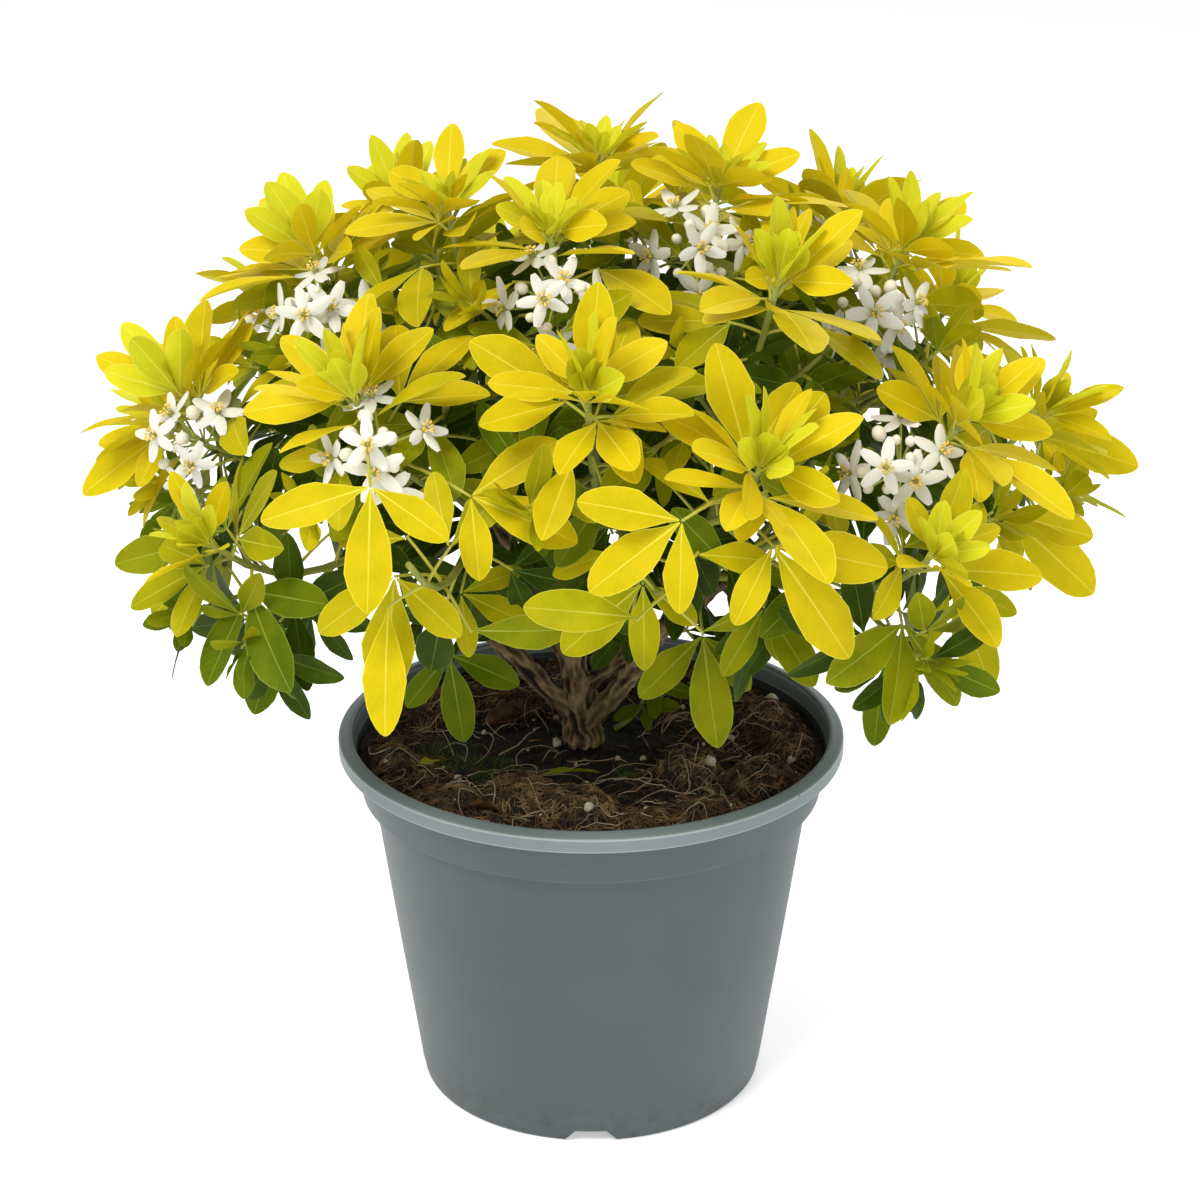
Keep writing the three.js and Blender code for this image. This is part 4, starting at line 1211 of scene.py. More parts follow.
def add_leaf(name, plan, age_and_shade, young, careful):
    """Adds the leaflets of a leaf that fit, with its stalk. A careful leaf crosses no other."""
    tone = 0 if young else tone_at(plan["hub"], age_and_shade)
    hub, face = plan["hub"], plan["face"]
    bend = YOUNG_BEND if young else FULL_BEND
    kept = 0
    for angle, full_length in plan["leaflets"]:
        way = turned(plan["middle"], face, -angle)
        arch = chance.uniform(*bend["arch"])
        fold = chance.uniform(*bend["fold"])
        for size in LEAF["sizes"]:
            length = full_length * size * (OPEN["size"] if name in OPEN_SHOOTS else 1)
            tip = hub + way * length - face * length * LEAF["dip"]
            belly = hub + way * length * LEAFLET["belly"]
            end = hub + way * length - face * length * arch
            fits = in_own_space(tip, name, LEAF["slack"]) and tip.z > hem_height(tip)
            fits = fits and not hides_flowers(tip) and not hides_flowers(belly)
            if fits and not (careful and canopy.crossed_by(hub, end, face)):
                older = chance.random() < AGE_AND_SHADE["older"]
                add_leaflet(hub, way, face, length, arch, fold, min(len(TONES) - 1, tone + older))
                kept += 1
                break
    if kept:
        root = plan["root"]
        rise = Vector((0, 0, LEAF["stalk_arch"] * (hub - root).length))
        stalks.append(Limb(root, root.lerp(hub, 0.5) + rise, hub + plan["middle"] * LEAF["stalk_in"]))


def add_pairs(name, limb, pairs, turn, roller, age_and_shade, young=False, careful=False):
    """Crossed pairs of leaves along a limb, from its tip down"""
    for rank, pair in enumerate(pairs):
        if pair["down"] > limb.length - LEAF["end_room"]:
            continue
        point, tangent = limb.below(pair["down"])
        for half in (0, 180):
            roll = turn + rank * 90 + half + VARY["roll"] * (roller() - 0.5)
            plan = leaf_plan(point, tangent, roll, pair, roller)
            add_leaf(name, plan, age_and_shade + rank * AGE_AND_SHADE["step"], young, careful)


# %% [markdown]
# The flowers come first, because leaves make room for them. Each head stands on a stalk that leaves the
# stem under the leaves, and its open flowers fan out round the stalk's end, with buds between them.

# %% Where the flowers stand
BLOSSOM = {"down": 40, "stalk": 24, "pedicel": 25, "step": 1.6, "fan": 62, "face": 0.45, "rise": 30}
BLOSSOM.update({"sag": 1.5, "loose": 30, "least_tilt": 0.9, "more_tilt": 0.2})
FIRST = {"tilt": 0.15, "out": 1.2, "aside": 0.3}
FILL = {"count": 9, "turn": 40, "tilt": (20, 66), "reach": (17, 25), "face": 0.4, "bud": (2.3, 3.6)}
ROOM = {"flower": 15, "bud": 7.5, "leaves_ahead": 12, "leaves_aside": 25}
STALK_RADII = {"head": (1.1, 0.9), "first": (0.55, 0.7), "more": (0.5, 0.65), "bud": (0.5, 0.6)}
flowers = []
buds = []
pedicels = []
ROLLERS = {}


def add_pedicel(foot, sag, end, kind):
    """A flower's or a bud's own stalk, with the radii of its kind"""
    pedicels.append((Limb(foot, foot.lerp(end, 0.5) - sag, end), *STALK_RADII[kind]))


for name, _, _, _, seed, _ in MASSES:
    roller = dice(seed)
    ROLLERS[name] = roller
    if name not in BLOOMS:
        continue
    count, azimuth = BLOOMS[name]
    point, _ = STEMS[name].below(BLOSSOM["down"])
    rise = math.radians(BLOSSOM["rise"])
    way = polar(azimuth, math.cos(rise), math.sin(rise))
    side = side_of(way)
    end = point + way * BLOSSOM["stalk"]
    add_pedicel(point, way * 0, end, "head")
    for i in range(count):
        ring = 360 * i / (count - 1) + BLOSSOM["loose"] * roller()
        tilted = BLOSSOM["least_tilt"] + BLOSSOM["more_tilt"] * roller() if i else FIRST["tilt"]
        tilt = BLOSSOM["fan"] * tilted
        out = turned(turned(way, side, tilt), way, ring)
        foot = end - way * BLOSSOM["step"] * i
        centre = foot + out * BLOSSOM["pedicel"] * (1 if i else FIRST["out"])
        opens = (out + way * (BLOSSOM["face"] if i else 0) + side * (0 if i else FIRST["aside"])).normalized()
        flowers.append((centre, opens))
        bend = foot.lerp(centre, 0.5) - way * BLOSSOM["sag"]
        pedicels.append((Limb(foot, bend, centre - opens * BLOSSOM["sag"]), *STALK_RADII["first"]))
    for i in range(FILL["count"]):
        ring = FILL["turn"] * i + chance.uniform(0, BLOSSOM["loose"])
        tilt = chance.uniform(*FILL["tilt"])
        out = turned(turned(way, side, tilt), way, ring)
        centre = end + out * chance.uniform(*FILL["reach"])
        apart = min((centre - other).length for other, _ in flowers)
        if apart > ROOM["flower"] and len(flowers) % 3:
            flowers.append((centre, (out + way * FILL["face"]).normalized()))
            add_pedicel(end, way, centre, "more")
        elif apart > ROOM["bud"]:
            buds.append((centre, out, chance.uniform(*FILL["bud"])))
            add_pedicel(end, way, centre, "bud")
    clusters.append((end + way * ROOM["leaves_ahead"], way, ROOM["leaves_aside"]))
print("open flowers", len(flowers), "buds", len(buds))

# %% [markdown]
# Some leaves of this plant are placed one by one, because they are what one sees first: golden ones that
# hang on long stalks at the front and at both sides, a few greener and darker ones below them, and a green
# sprout at the trunk's foot. Each is given by its hub and by where its leaflets point. Then every shoot gets
# its four pairs, as in the part, and a tuft of young leaves. The two front skirts keep only their lower
# pairs, behind the hanging leaves. The finer leaves fill in last, where they cross nothing.

# %% Hanging leaves, and the part's leaves
HANGING = [
    ("gold", (-96, -196, 397), [(-48, -8, -13), (-2, -16, -54), (34, -10, -21)]),
    ("gold", (-53, -176, 385), [(38, 6, 25), (48, -8, -18), (4, -14, -35)]),
    ("gold", (40, -220, 390), [(-45, -1, 10), (-41, -7, -30), (-1, -12, -39)]),
    ("gold", (81, -196, 369), [(53, 6, -12), (-17, -14, -32), (36, -10, -50)]),
    ("gold", (203, -40, 326), [(45, 4, -14), (47, -4, -41), (4, -10, -32)]),
    ("gold", (221, -20, 358), [(50, -2, -13), (29, 10, 11), (10, -14, -12)]),
    ("gold", (-208, -30, 364), [(-34, 4, -6), (-42, -6, -29), (-12, -14, -23)]),
    ("olive", (-186, -50, 314), [(-24, 4, -8), (-29, -8, -36), (-7, -12, -25)]),
    ("gold_deep", (-88, -172, 345), [(-35, -8, -24), (-5, -18, -52), (30, -10, -25)]),
    ("olive", (24, -168, 340), [(-37, -8, -31), (1, -18, -35), (26, 8, -23)]),
    ("lime", (80, -150, 321), [(-19, -8, -31), (25, -10, -35), (13, 10, -32)]),
    ("olive", (170, -110, 315), [(-13, -6, -28), (21, -8, -49), (34, 6, -15)]),
    ("olive", (-61, -110, 312), [(29, 6, 10), (34, -2, -16), (4, -8, -30)]),
    ("dark", (-30, -20, 296), [(-7, -4, -23), (17, -10, -26), (21, 6, -9)]),
    ("dark", (19, -40, 269), [(-18, -6, -24), (0, -10, -19), (15, 6, -12)]),
    ("green", (-70, -50, 255), [(-22, -6, -26), (7, -10, -44), (35, -4, -14)]),
    ("lime", (54, -88, 281), [(-31, -6, -30), (7, -16, -53), (26, 4, -30)]),
    ("green", (140, -110, 276), [(-24, 2, -14), (-5, -12, -38), (17, -4, -24)]),
    ("green", (-149, -92, 290), [(-19, 0, -18), (-13, -12, -44), (11, -2, -27)]),
]
SPROUT = Limb((12, 24, 181), (27, 31, 187), (31, 30, 203))
SPROUT_LEAVES = [
    (1.0, [(-17, -3, 5), (1, -16, -13), (21, 2, -7)]),
    (0.6, [(-15, -10, -5), (3, -14, -9), (19, -7, 1)]),
    (0.85, [(-14, 12, 8), (4, 18, 6), (15, 10, 8)]),
]


SPROUT_HUB = Vector((1, -3, 3))
BEHIND = Vector((0, 40, 4))
TOWARDS_LIGHT = Vector((0, -0.8, 0.6))
POINTED = {"arch": (0.02, 0.1), "fold": (0.08, 0.25), "rise": Vector((0, 0, 3))}
WOOD_STEPS = 24


def nearest_wood(place):
    """The nearest spot on any stem"""
    spots = [stem.at(i / WOOD_STEPS) for stem in STEMS.values() for i in range(WOOD_STEPS + 1)]
    return min(spots, key=lambda spot: (spot - place).length)


def add_pointed(hub, spans, tone, root):
    """A leaf whose leaflets are given by their spans, with a stalk from its root"""
    for span in spans:
        reach = Vector(span)
        way = reach.normalized()
        face = (TOWARDS_LIGHT - way * TOWARDS_LIGHT.dot(way)).normalized()
        arch = chance.uniform(*POINTED["arch"])
        fold = chance.uniform(*POINTED["fold"])
        add_leaflet(hub, way, face, reach.length, arch, fold, TONES.index(tone))
    stalks.append(Limb(root, root.lerp(hub, 0.5) + POINTED["rise"], hub))


def age_and_shade_at(name, height):
    """What a shoot's place adds to its leaves' tones, as age and painted shade: more low down and where it is
    open
    """
    return (AGE_AND_SHADE["low"] if height < LOW_BELOW else 0) + (OPEN["age_and_shade"] if name in OPEN_SHOOTS else 0)


for tone, place, spans in HANGING:
    hub = Vector(place)
    add_pointed(hub, spans, tone, nearest_wood(hub + BEHIND))
twigs.append((SPROUT, *TWIG_RADII["sprout"]))
for share, spans in SPROUT_LEAVES:
    add_pointed(SPROUT.at(share) + SPROUT_HUB, spans, "green", SPROUT.at(share))
for name, _, _, height, _, turn in MASSES:
    twigs.append((STEMS[name], *TWIG_RADII["stem"]))
    low = age_and_shade_at(name, height)
    pairs = PAIRS[2:] if name in HUNG_SHOOTS else PAIRS
    add_pairs(name, STEMS[name], pairs, turn, ROLLERS[name], low, careful=True)
    if name not in HUNG_SHOOTS:
        young = FLAT_YOUNG_PAIRS if height > FLAT_ABOVE else YOUNG_PAIRS
        add_pairs(name, STEMS[name], young, turn + BETWEEN_TURN, chance.random, low, young=True)
print("leaflets of the part's rule and placed one by one", len(leaves))


# %% Finer leaves and side shoots
def side_twig(stem, name, shoot, turn):
    """A side shoot whose tip has room in its own space, with its turn, or None"""
    down, own_turn, length, angle = shoot
    point, tangent = stem.below(min(down, stem.length * SIDE["deepest"]))
    for attempt in range(SIDE["tries"]):
        around = turn + own_turn + attempt * SIDE["step"] + chance.uniform(-SIDE["vary"], SIDE["vary"])
        side = turned(side_of(tangent), tangent, around)
        way = turned(tangent, tangent.cross(side).normalized(), angle)
        bend = point + way * length * 0.5
        tip = bend + (way.lerp(tangent, SIDE["curl"])).normalized() * length * 0.5
        roomy = all((tip - twig[0].at(1)).length > SIDE["gap"] for twig in twigs)
        inside = in_own_space(tip, name, 0) and dome_share(tip) < SIDE["outmost"]
        if roomy and inside and tip.z > hem_height(tip) + SIDE["over_hem"]:
            return Limb(point, bend, tip), around
    return None


def side_shoots_of(name):
    """A shoot's side shoots: none behind the hanging leaves, and fewer where it is open"""
    if name in HUNG_SHOOTS:
        return []
    return SIDE_SHOOTS[: OPEN["side_shoots"]] if name in OPEN_SHOOTS else SIDE_SHOOTS


def inner_pairs_of(name):
    """A shoot's inner pairs: every second one where it is open, the lower ones behind the hanging leaves"""
    if name in OPEN_SHOOTS:
        return INNER_PAIRS[::2]
    return INNER_PAIRS[2:] if name in HUNG_SHOOTS else INNER_PAIRS


def fill_in(name, limb, pairs, turn, age_and_shade):
    """Finer leaves along a limb, which cross no other"""
    add_pairs(name, limb, pairs, turn, chance.random, age_and_shade, careful=True)


for name, _, _, height, _, turn in MASSES:
    stem = STEMS[name]
    low = age_and_shade_at(name, height)
    if height > SPARSE_BELOW:
        fill_in(name, stem, BETWEEN_PAIRS, turn + BETWEEN_TURN, low + AGE_AND_SHADE["between"])
    for shoot in side_shoots_of(name):
        found = side_twig(stem, name, shoot, turn)
        if found:
            twig, around = found
            twigs.append((twig, *TWIG_RADII["side"]))
            fill_in(name, twig, TUFT_PAIRS, around, low + AGE_AND_SHADE["tuft"])
    fill_in(name, stem, inner_pairs_of(name), turn + INNER_TURN, low + AGE_AND_SHADE["inner"])
for name, bough in BOUGHS.items():
    fill_in(name, bough_limb(bough), BOUGH_PAIRS, 0, AGE_AND_SHADE["bough"])
print("leaflets", len(leaves), "stalks", len(stalks), "twigs", len(twigs))
print("leaflets by tone", [sum(row["tone"] == rank for row in leaves) for rank in range(len(TONES))])

# %% [markdown]
# Leaves of one tone are joined into one piece, so each tone is a plain colour that is dealt out spray by
# spray. Every tone has its own blade finish and a paler one for ribs and margins. A blade is a little
# greener at its foot.

# %% Leaf finishes and joined leaves
BLADES = {
    "young": ((222, 216, 42), (210, 209, 34)),
    "gold_bright": ((229, 204, 26), (222, 197, 18)),
    "gold": ((218, 194, 16), (202, 183, 12)),
    "gold_deep": ((205, 187, 16), (187, 175, 12)),
    "olive": ((178, 168, 8), (156, 154, 8)),
    "lime": ((146, 147, 8), (122, 132, 8)),
    "green": ((104, 118, 8), (84, 104, 8)),
    "dark": ((66, 84, 8), (48, 66, 6)),
}
RIBS = {
    "young": (234, 226, 96),
    "gold_bright": (237, 221, 76),
    "gold": (228, 212, 66),
    "gold_deep": (214, 204, 66),
    "olive": (190, 188, 62),
    "lime": (160, 170, 58),
    "green": (130, 150, 52),
    "dark": (88, 114, 40),
}
PASS = {"blade": 0.3, "rib": 0.25, "red": 0.96}
VEINS = {"count": 9, "slant": 2.8, "line": 0.13, "share": 0.16}
FOOT = {"shades": (0.88, 0.97, 0.9), "up_to": 0.4, "share": 0.7}
STEM_TUBE = {"sides": 8, "steps": 10}
STALK_TUBE = {"sides": 5, "steps": 4}
STALK_TAPER = (0.95, 0.7)
foliage_nodes = [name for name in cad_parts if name.startswith("foliage_")]


def leaf_finish(tone):
    """A blade's finish, with pale side veins that slant forward from the rib"""
    material = thin_finish(f"leaf_{tone}", *BLADES[tone], PASS["blade"], PASS["red"])
    tree = material.node_tree
    run = maths(tree, "MULTIPLY", stored_value(tree, "along"), VEINS["count"])
    slant = maths(tree, "MULTIPLY_ADD", stored_value(tree, "aside"), -VEINS["slant"], run)
    vein = range_value(tree, maths(tree, "PINGPONG", slant, 0.5), VEINS["line"], 0, VEINS["share"])
    mix_in(tree, vein, RIBS[tone])
    greener = tuple(part * shade for part, shade in zip(BLADES[tone][1], FOOT["shades"]))
    mix_in(tree, range_value(tree, stored_value(tree, "along"), FOOT["up_to"], 0, FOOT["share"]), greener)
    return material


along_leaflet = leaflet["points"][:, 0] / LEAFLET["length"]
aside_leaflet = np.abs(leaflet["points"][:, 1]) / (LEAFLET["length"] * LEAFLET["width"] / 2)
for rank, tone in enumerate(TONES):
    rows = [row for row in leaves if row["tone"] == rank]
    rib = thin_finish(f"rib_{tone}", RIBS[tone], RIBS[tone], PASS["rib"], PASS["red"])
    piece = joined(f"leaves_{tone}", leaflet, bent_leaflets(leaflet, rows), [leaf_finish(tone), rib])
    write_attribute(piece, "along", np.tile(along_leaflet, len(rows)))
    write_attribute(piece, "aside", np.tile(aside_leaflet, len(rows)))
    settle(piece, f"leaves_{tone}", "foliage", *(foliage_nodes if rank == 0 else []))

# %% Stems, side twigs and leaf stalks
stem_stops = [(0.3, (112, 124, 44)), (0.7, (146, 150, 62))]
stem_skin = {"bump": 0.3, "bump_scale": 600, "bump_size": 0.0003}
young_wood = finish("young_stem", stem_stops, scale=60, roughness=0.6, **stem_skin)
stalk_stops = [(0.3, (158, 160, 48)), (0.7, (186, 182, 62))]
stalk_skin = {"bump": 0.2, "bump_scale": 600, "bump_size": 0.0002}
stalk_green = finish("leaf_stalk", stalk_stops, scale=60, roughness=0.55, **stalk_skin)
stem_template = tube_template(*STEM_TUBE.values())
paths = np.array([along(limb, STEM_TUBE["steps"]) for limb, _, _ in twigs])
radii = np.array([np.linspace(foot, tip, STEM_TUBE["steps"] + 1) for _, foot, tip in twigs])
stems_piece = joined("stems", stem_template, bent_tubes(stem_template, paths, radii), [young_wood])
settle(stems_piece, "green_stems", "foliage")
stalk_template = tube_template(*STALK_TUBE.values())
paths = np.array([along(limb, STALK_TUBE["steps"]) for limb in stalks])
radii = np.tile(np.linspace(*STALK_TAPER, STALK_TUBE["steps"] + 1), (len(stalks), 1))
stalks_piece = joined("stalks", stalk_template, bent_tubes(stalk_template, paths, radii), [stalk_green])
settle(stalks_piece, "leaf_stalks", "foliage")

# %% [markdown]
# ## Flowers
# A flower has five oval white petals that are cupped a little, a green centre, and eight stamens with
# yellow heads. A petal is a small grid drawn to an oval. Buds are round and cream-white.

# %% One petal, one stamen head, one bud
PETAL = {"length": 13.4, "width": 6.3, "foot": 0.8, "narrowest": 0.14, "cup": 0.9, "rise": 2.6}
FLOWER = {"petals": 5, "turn": 72, "loose": (-5, 5), "closing": (-8, 16), "size": (0.9, 1.08)}
FLOWER["petal_size"] = (0.94, 1.05)
STAMENS = {"count": 8, "turn": 45, "loose": (-9, 9), "lean": (0.45, 0.75), "length": (4.2, 5.6)}
STAMENS.update({"foot": 0.6, "radius": 0.28, "head": (0.72, 1.15)})
HEART = {"out": 1.1, "size": (1.7, 2.1)}
BUD_LENGTH = 1.15


def petal_template():
    """A petal: a small grid drawn to an oval and cupped"""
    rows = [0, 0.18, 0.42, 0.68, 0.88, 1]
    strips = [-1, -0.5, 0, 0.5, 1]
    deselect_all()
    bpy.ops.mesh.primitive_grid_add(x_subdivisions=len(rows) - 1, y_subdivisions=len(strips) - 1, size=1)
    petal = bpy.context.object
    for vertex in petal.data.vertices:
        row = rows[round((vertex.co.x + 0.5) * (len(rows) - 1))]
        strip = strips[round((vertex.co.y + 0.5) * (len(strips) - 1))]
        oval = math.sin(math.pi * min(1, row**0.8 * 0.93)) ** 0.6
        half = PETAL["width"] / 2 * max(PETAL["narrowest"], oval)
        cup = PETAL["cup"] * strip * strip * (1 - 0.4 * row) + PETAL["rise"] * row**2 * (1 - 0.8 * row)
        vertex.co = Vector((PETAL["foot"] + row * PETAL["length"], strip * half, cup)) * MM
    return template_of(petal)


def ball_template(segments, rings):
    """A ball of radius 1"""
    deselect_all()
    bpy.ops.mesh.primitive_uv_sphere_add(segments=segments, ring_count=rings, radius=MM)
    return template_of(bpy.context.object)


def columns(rows):
    """The columns of rows, as arrays that fit beside a template's points"""
    return [np.array(column, float).reshape(len(rows), 1, -1) for column in zip(*rows)]


def placed_balls(template, rows):
    """Balls drawn out along a way: rows of centre, way, radius and length"""
    centre, way, radius, length = columns(rows)
    way = unit(way)
    helper = np.where(np.abs(way[..., 2:3]) > 0.9, np.array([1.0, 0, 0]), np.array([0, 0, 1.0]))
    side = unit(np.cross(helper, way))
    up = np.cross(way, side)
    points = template["points"][None]
    across = side * points[..., 0:1] + up * points[..., 1:2]
    return centre + across * radius + way * points[..., 2:3] * length


petal_shape = petal_template()
ball = ball_template(segments=8, rings=6)
petal_rows = []
filaments = []
heads = []
centres = []
for centre, opens in flowers:
    side = side_of(opens)
    turn = chance.uniform(0, FLOWER["turn"])
    closing = chance.uniform(*FLOWER["closing"])
    size = chance.uniform(*FLOWER["size"])
    for i in range(FLOWER["petals"]):
        around = turned(side, opens, turn + FLOWER["turn"] * i + chance.uniform(*FLOWER["loose"]))
        out = turned(around, around.cross(opens).normalized(), closing + chance.uniform(*FLOWER["loose"]))
        face = out.cross(around.cross(opens)).normalized()
        petal_rows.append((centre, out, face, size * chance.uniform(*FLOWER["petal_size"])))
    for i in range(STAMENS["count"]):
        around = turned(side, opens, STAMENS["turn"] * i + chance.uniform(*STAMENS["loose"]))
        lean = (opens + around * chance.uniform(*STAMENS["lean"])).normalized()
        tip = centre + lean * chance.uniform(*STAMENS["length"])
        filaments.append((centre + lean * STAMENS["foot"], tip))
        heads.append((tip, around, *STAMENS["head"]))
    centres.append((centre + opens * HEART["out"], opens, *HEART["size"]))


def placed_petals(template, rows):
    """Petals from rows of centre, way, face and size"""
    centre, way, face, size = columns(rows)
    beside = np.cross(face, way)
    points = template["points"][None]
    return centre + (way * points[..., 0:1] + beside * points[..., 1:2] + face * points[..., 2:3]) * size


petal_white = thin_finish("petal_white", (238, 237, 230), (228, 227, 218), 0.2)
anther_stops = [(0.3, (212, 180, 74)), (0.7, (236, 212, 112))]
anther = finish("anther_yellow", anther_stops, scale=300, roughness=0.7)
filament_stops = [(0.3, (222, 222, 170)), (0.7, (236, 234, 200))]
filament = finish("filament_cream", filament_stops, scale=200, roughness=0.6)
heart_stops = [(0.3, (142, 128, 52)), (0.7, (170, 172, 74))]
heart = finish("flower_heart", heart_stops, scale=300, roughness=0.55)
bud_stops = [(0.3, (226, 218, 192)), (0.7, (242, 238, 222))]
bud_skin = {"bump": 0.2, "bump_scale": 900, "bump_size": 0.0002}
bud_cream = finish("bud_cream", bud_stops, scale=220, roughness=0.55, **bud_skin)
pedicel_stops = [(0.3, (150, 164, 66)), (0.7, (178, 186, 88))]
pedicel_green = finish("pedicel_green", pedicel_stops, scale=120, roughness=0.55)
petals = joined("petals", petal_shape, placed_petals(petal_shape, petal_rows), [petal_white])
settle(petals, "petals", "foliage")
thread = tube_template(sides=4, steps=2)
paths = np.array([[a, a.lerp(b, 0.5), b] for a, b in filaments])
threads = bent_tubes(thread, paths, np.full(paths.shape[:2], STAMENS["radius"]))
settle(joined("filaments", thread, threads, [filament]), "stamen_filaments", "foliage")
small_ball = ball_template(segments=6, rings=4)
settle(joined("heads", small_ball, placed_balls(small_ball, heads), [anther]), "stamen_heads", "foliage")
settle(joined("hearts", ball, placed_balls(ball, centres), [heart]), "flower_hearts", "foliage")
bud_rows = [(centre, way, radius, radius * BUD_LENGTH) for centre, way, radius in buds]
settle(joined("buds", ball, placed_balls(ball, bud_rows), [bud_cream]), "flower_buds", "foliage")
paths = np.array([along(limb, STALK_TUBE["steps"]) for limb, _, _ in pedicels])
radii = np.array([np.linspace(foot, tip, STALK_TUBE["steps"] + 1) for _, foot, tip in pedicels])
flower_stalks = joined("pedicels", stalk_template, bent_tubes(stalk_template, paths, radii), [pedicel_green])
settle(flower_stalks, "flower_stalks", "foliage")

# %% [markdown]
# ## Compost
# The pot is filled with dark, wet compost. Clods of matted brown coir stand on its right and along its
# front, and black peat with some moss lies bare round the trunk. The body is a grid drawn to a disc. Each
# point stores how brown and how mossy it is, and its material reads that. Fibres lie on the brown parts.

# %% The compost's body
COMPOST = {"level": SOIL, "radius": 119.3, "cells": 170}
SIDE_RINGS = [(116.6, 166), (109.5, 161), (100, 92)]
COIR_PARTS = [(0.9, 70, 100), (0.75, 22, 66), (0.6, 26, 70)]
COIR = {"base": 0.65, "patches": 0.9, "patch_size": 17, "rise": 1.2, "sink": 0.4}
CLOD = {"coir": 1.15, "reach": 1.1, "soft": 0.3, "ragged": (6, 0.16), "rough": (3.5, 0.3)}
RAGGED = {"by": 7, "size": 9, "soft": 9}
SOIL_WAVES = [(38, 2.4), (14, 2), (5, 1.2), (2.2, 0.8)]
AT_TRUNK = {"least": 0.3, "from": 6, "to": 24}
CLODS = [
    (50, -33, 17, 12),
    (84, -46, 20, 9),
    (-35, -60, 20, 8),
    (-6, -74, 19, 7),
    (26, -92, 15, 6),
    (60, -82, 17, 7),
    (102, -8, 15, 8),
    (86, 34, 19, 8),
    (58, 70, 18, 7),
    (-72, -66, 18, 6),
    (-102, -18, 14, 7),
    (-84, 42, 18, 7),
    (-38, 52, 20, 6),
    (12, 86, 20, 7),
]
MOSS = [(-78, -12, 24), (-50, -24, 20), (96, -58, 14), (20, -30, 12)]


def smooth(value, low, high):
    """0 below low, 1 above high, and a soft step between"""
    share = min(1, max(0, (value - low) / (high - low)))
    return share * share * (3 - 2 * share)


def coir_share(x, y):
    """How much a place is brown coir, against black peat: 0 to 1, more at the rim, the right and the back"""
    place = Vector((x, y, 0))
    reaches = (math.hypot(x, y), x, y)
    share = sum(part * smooth(reach, low, high) for (part, low, high), reach in zip(COIR_PARTS, reaches))
    share *= COIR["base"] + COIR["patches"] * noise.noise(place / COIR["patch_size"])
    for cx, cy, radius, _ in CLODS:
        inside = radius * CLOD["reach"] - math.hypot(x - cx, y - cy)
        share = max(share, CLOD["coir"] * smooth(inside, 0, radius * CLOD["soft"]))
    return min(1, max(0, share))


def moss_share(x, y):
    """How mossy a place is: 0 to 1"""
    ragged = RAGGED["by"] * noise.noise(Vector((x, y, RAGGED["size"])) / RAGGED["size"])
    inside = [radius - math.hypot(x - cx, y - cy) + ragged for cx, cy, radius in MOSS]
    return smooth(max(inside), 0, RAGGED["soft"]) * (1 - coir_share(x, y))


def compost_height(x, y):
    """Height of the compost's top in millimetres"""
    place = Vector((x, y, 0))
    waves = sum(noise.noise(place / size) * rise for size, rise in SOIL_WAVES)
    ragged_size, ragged = CLOD["ragged"]
    rough_size, rough = CLOD["rough"]
    clod = 0
    for cx, cy, radius, rise in CLODS:
        off = math.hypot(x - cx, y - cy) / radius + ragged * noise.noise(place / ragged_size)
        if off < 1:
            clod = max(clod, rise * (1 - off**3) * (1 + rough * noise.noise(place / rough_size)))
    from_trunk = math.hypot(x - TRUNK["foot"].x, y - TRUNK["foot"].y)
    calm = max(AT_TRUNK["least"], smooth(from_trunk, AT_TRUNK["from"], AT_TRUNK["to"]))
    return COMPOST["level"] + (waves + clod) * calm + COIR["rise"] * coir_share(x, y) - COIR["sink"]


deselect_all()
bpy.ops.mesh.primitive_grid_add(x_subdivisions=COMPOST["cells"], y_subdivisions=COMPOST["cells"], size=2)
compost = bpy.context.object
for vertex in compost.data.vertices:
    x, y = vertex.co.x, vertex.co.y
    u = x * math.sqrt(1 - y * y / 2) * COMPOST["radius"]
    v = y * math.sqrt(1 - x * x / 2) * COMPOST["radius"]
    vertex.co = Vector((u, v, compost_height(u, v))) * MM
rim = COMPOST["radius"] * 0.999 * MM
pick(compost, "EDGE", lambda e: all(math.hypot(*compost.data.vertices[i].co[:2]) > rim for i in e.vertices))
for radius, height in SIDE_RINGS:
    bpy.ops.mesh.extrude_region_move()
    object_mode()
    for vertex in compost.data.vertices:
        if vertex.select:
            scale = radius * MM / math.hypot(vertex.co.x, vertex.co.y)
            vertex.co = Vector((vertex.co.x * scale, vertex.co.y * scale, height * MM))
    bpy.ops.object.mode_set(mode="EDIT")
bpy.ops.mesh.edge_face_add()
bpy.ops.mesh.select_all(action="SELECT")
bpy.ops.mesh.normals_make_consistent(inside=False)
object_mode()
bpy.ops.object.shade_smooth()
grid = [(v.co.x / MM, v.co.y / MM) for v in compost.data.vertices]
write_attribute(compost, "coir", [coir_share(x, y) for x, y in grid])
write_attribute(compost, "moss", [moss_share(x, y) for x, y in grid])
soil_stops = [(0.4, (12, 10, 8)), (0.6, (30, 24, 17))]
soil_skin = {"bump": 1, "bump_scale": 1000, "bump_size": 0.0016, "gloss": 0.35}
soil = finish("compost", soil_stops, scale=170, roughness=0.8, **soil_skin)
tree = soil.node_tree
crumbly = range_value(tree, noise_value(tree, 420, detail=5, roughness=0.7), 0.42, 0.62)
mix_in(tree, maths(tree, "MULTIPLY", crumbly, stored_value(tree, "coir")), (72, 54, 34))
tufted = range_value(tree, noise_value(tree, 600, detail=3), 0.4, 0.6)
mix_in(tree, maths(tree, "MULTIPLY", tufted, stored_value(tree, "moss")), (50, 66, 18))
compost.data.materials.append(soil)
settle(compost, "compost_fill", "compost", "compost")

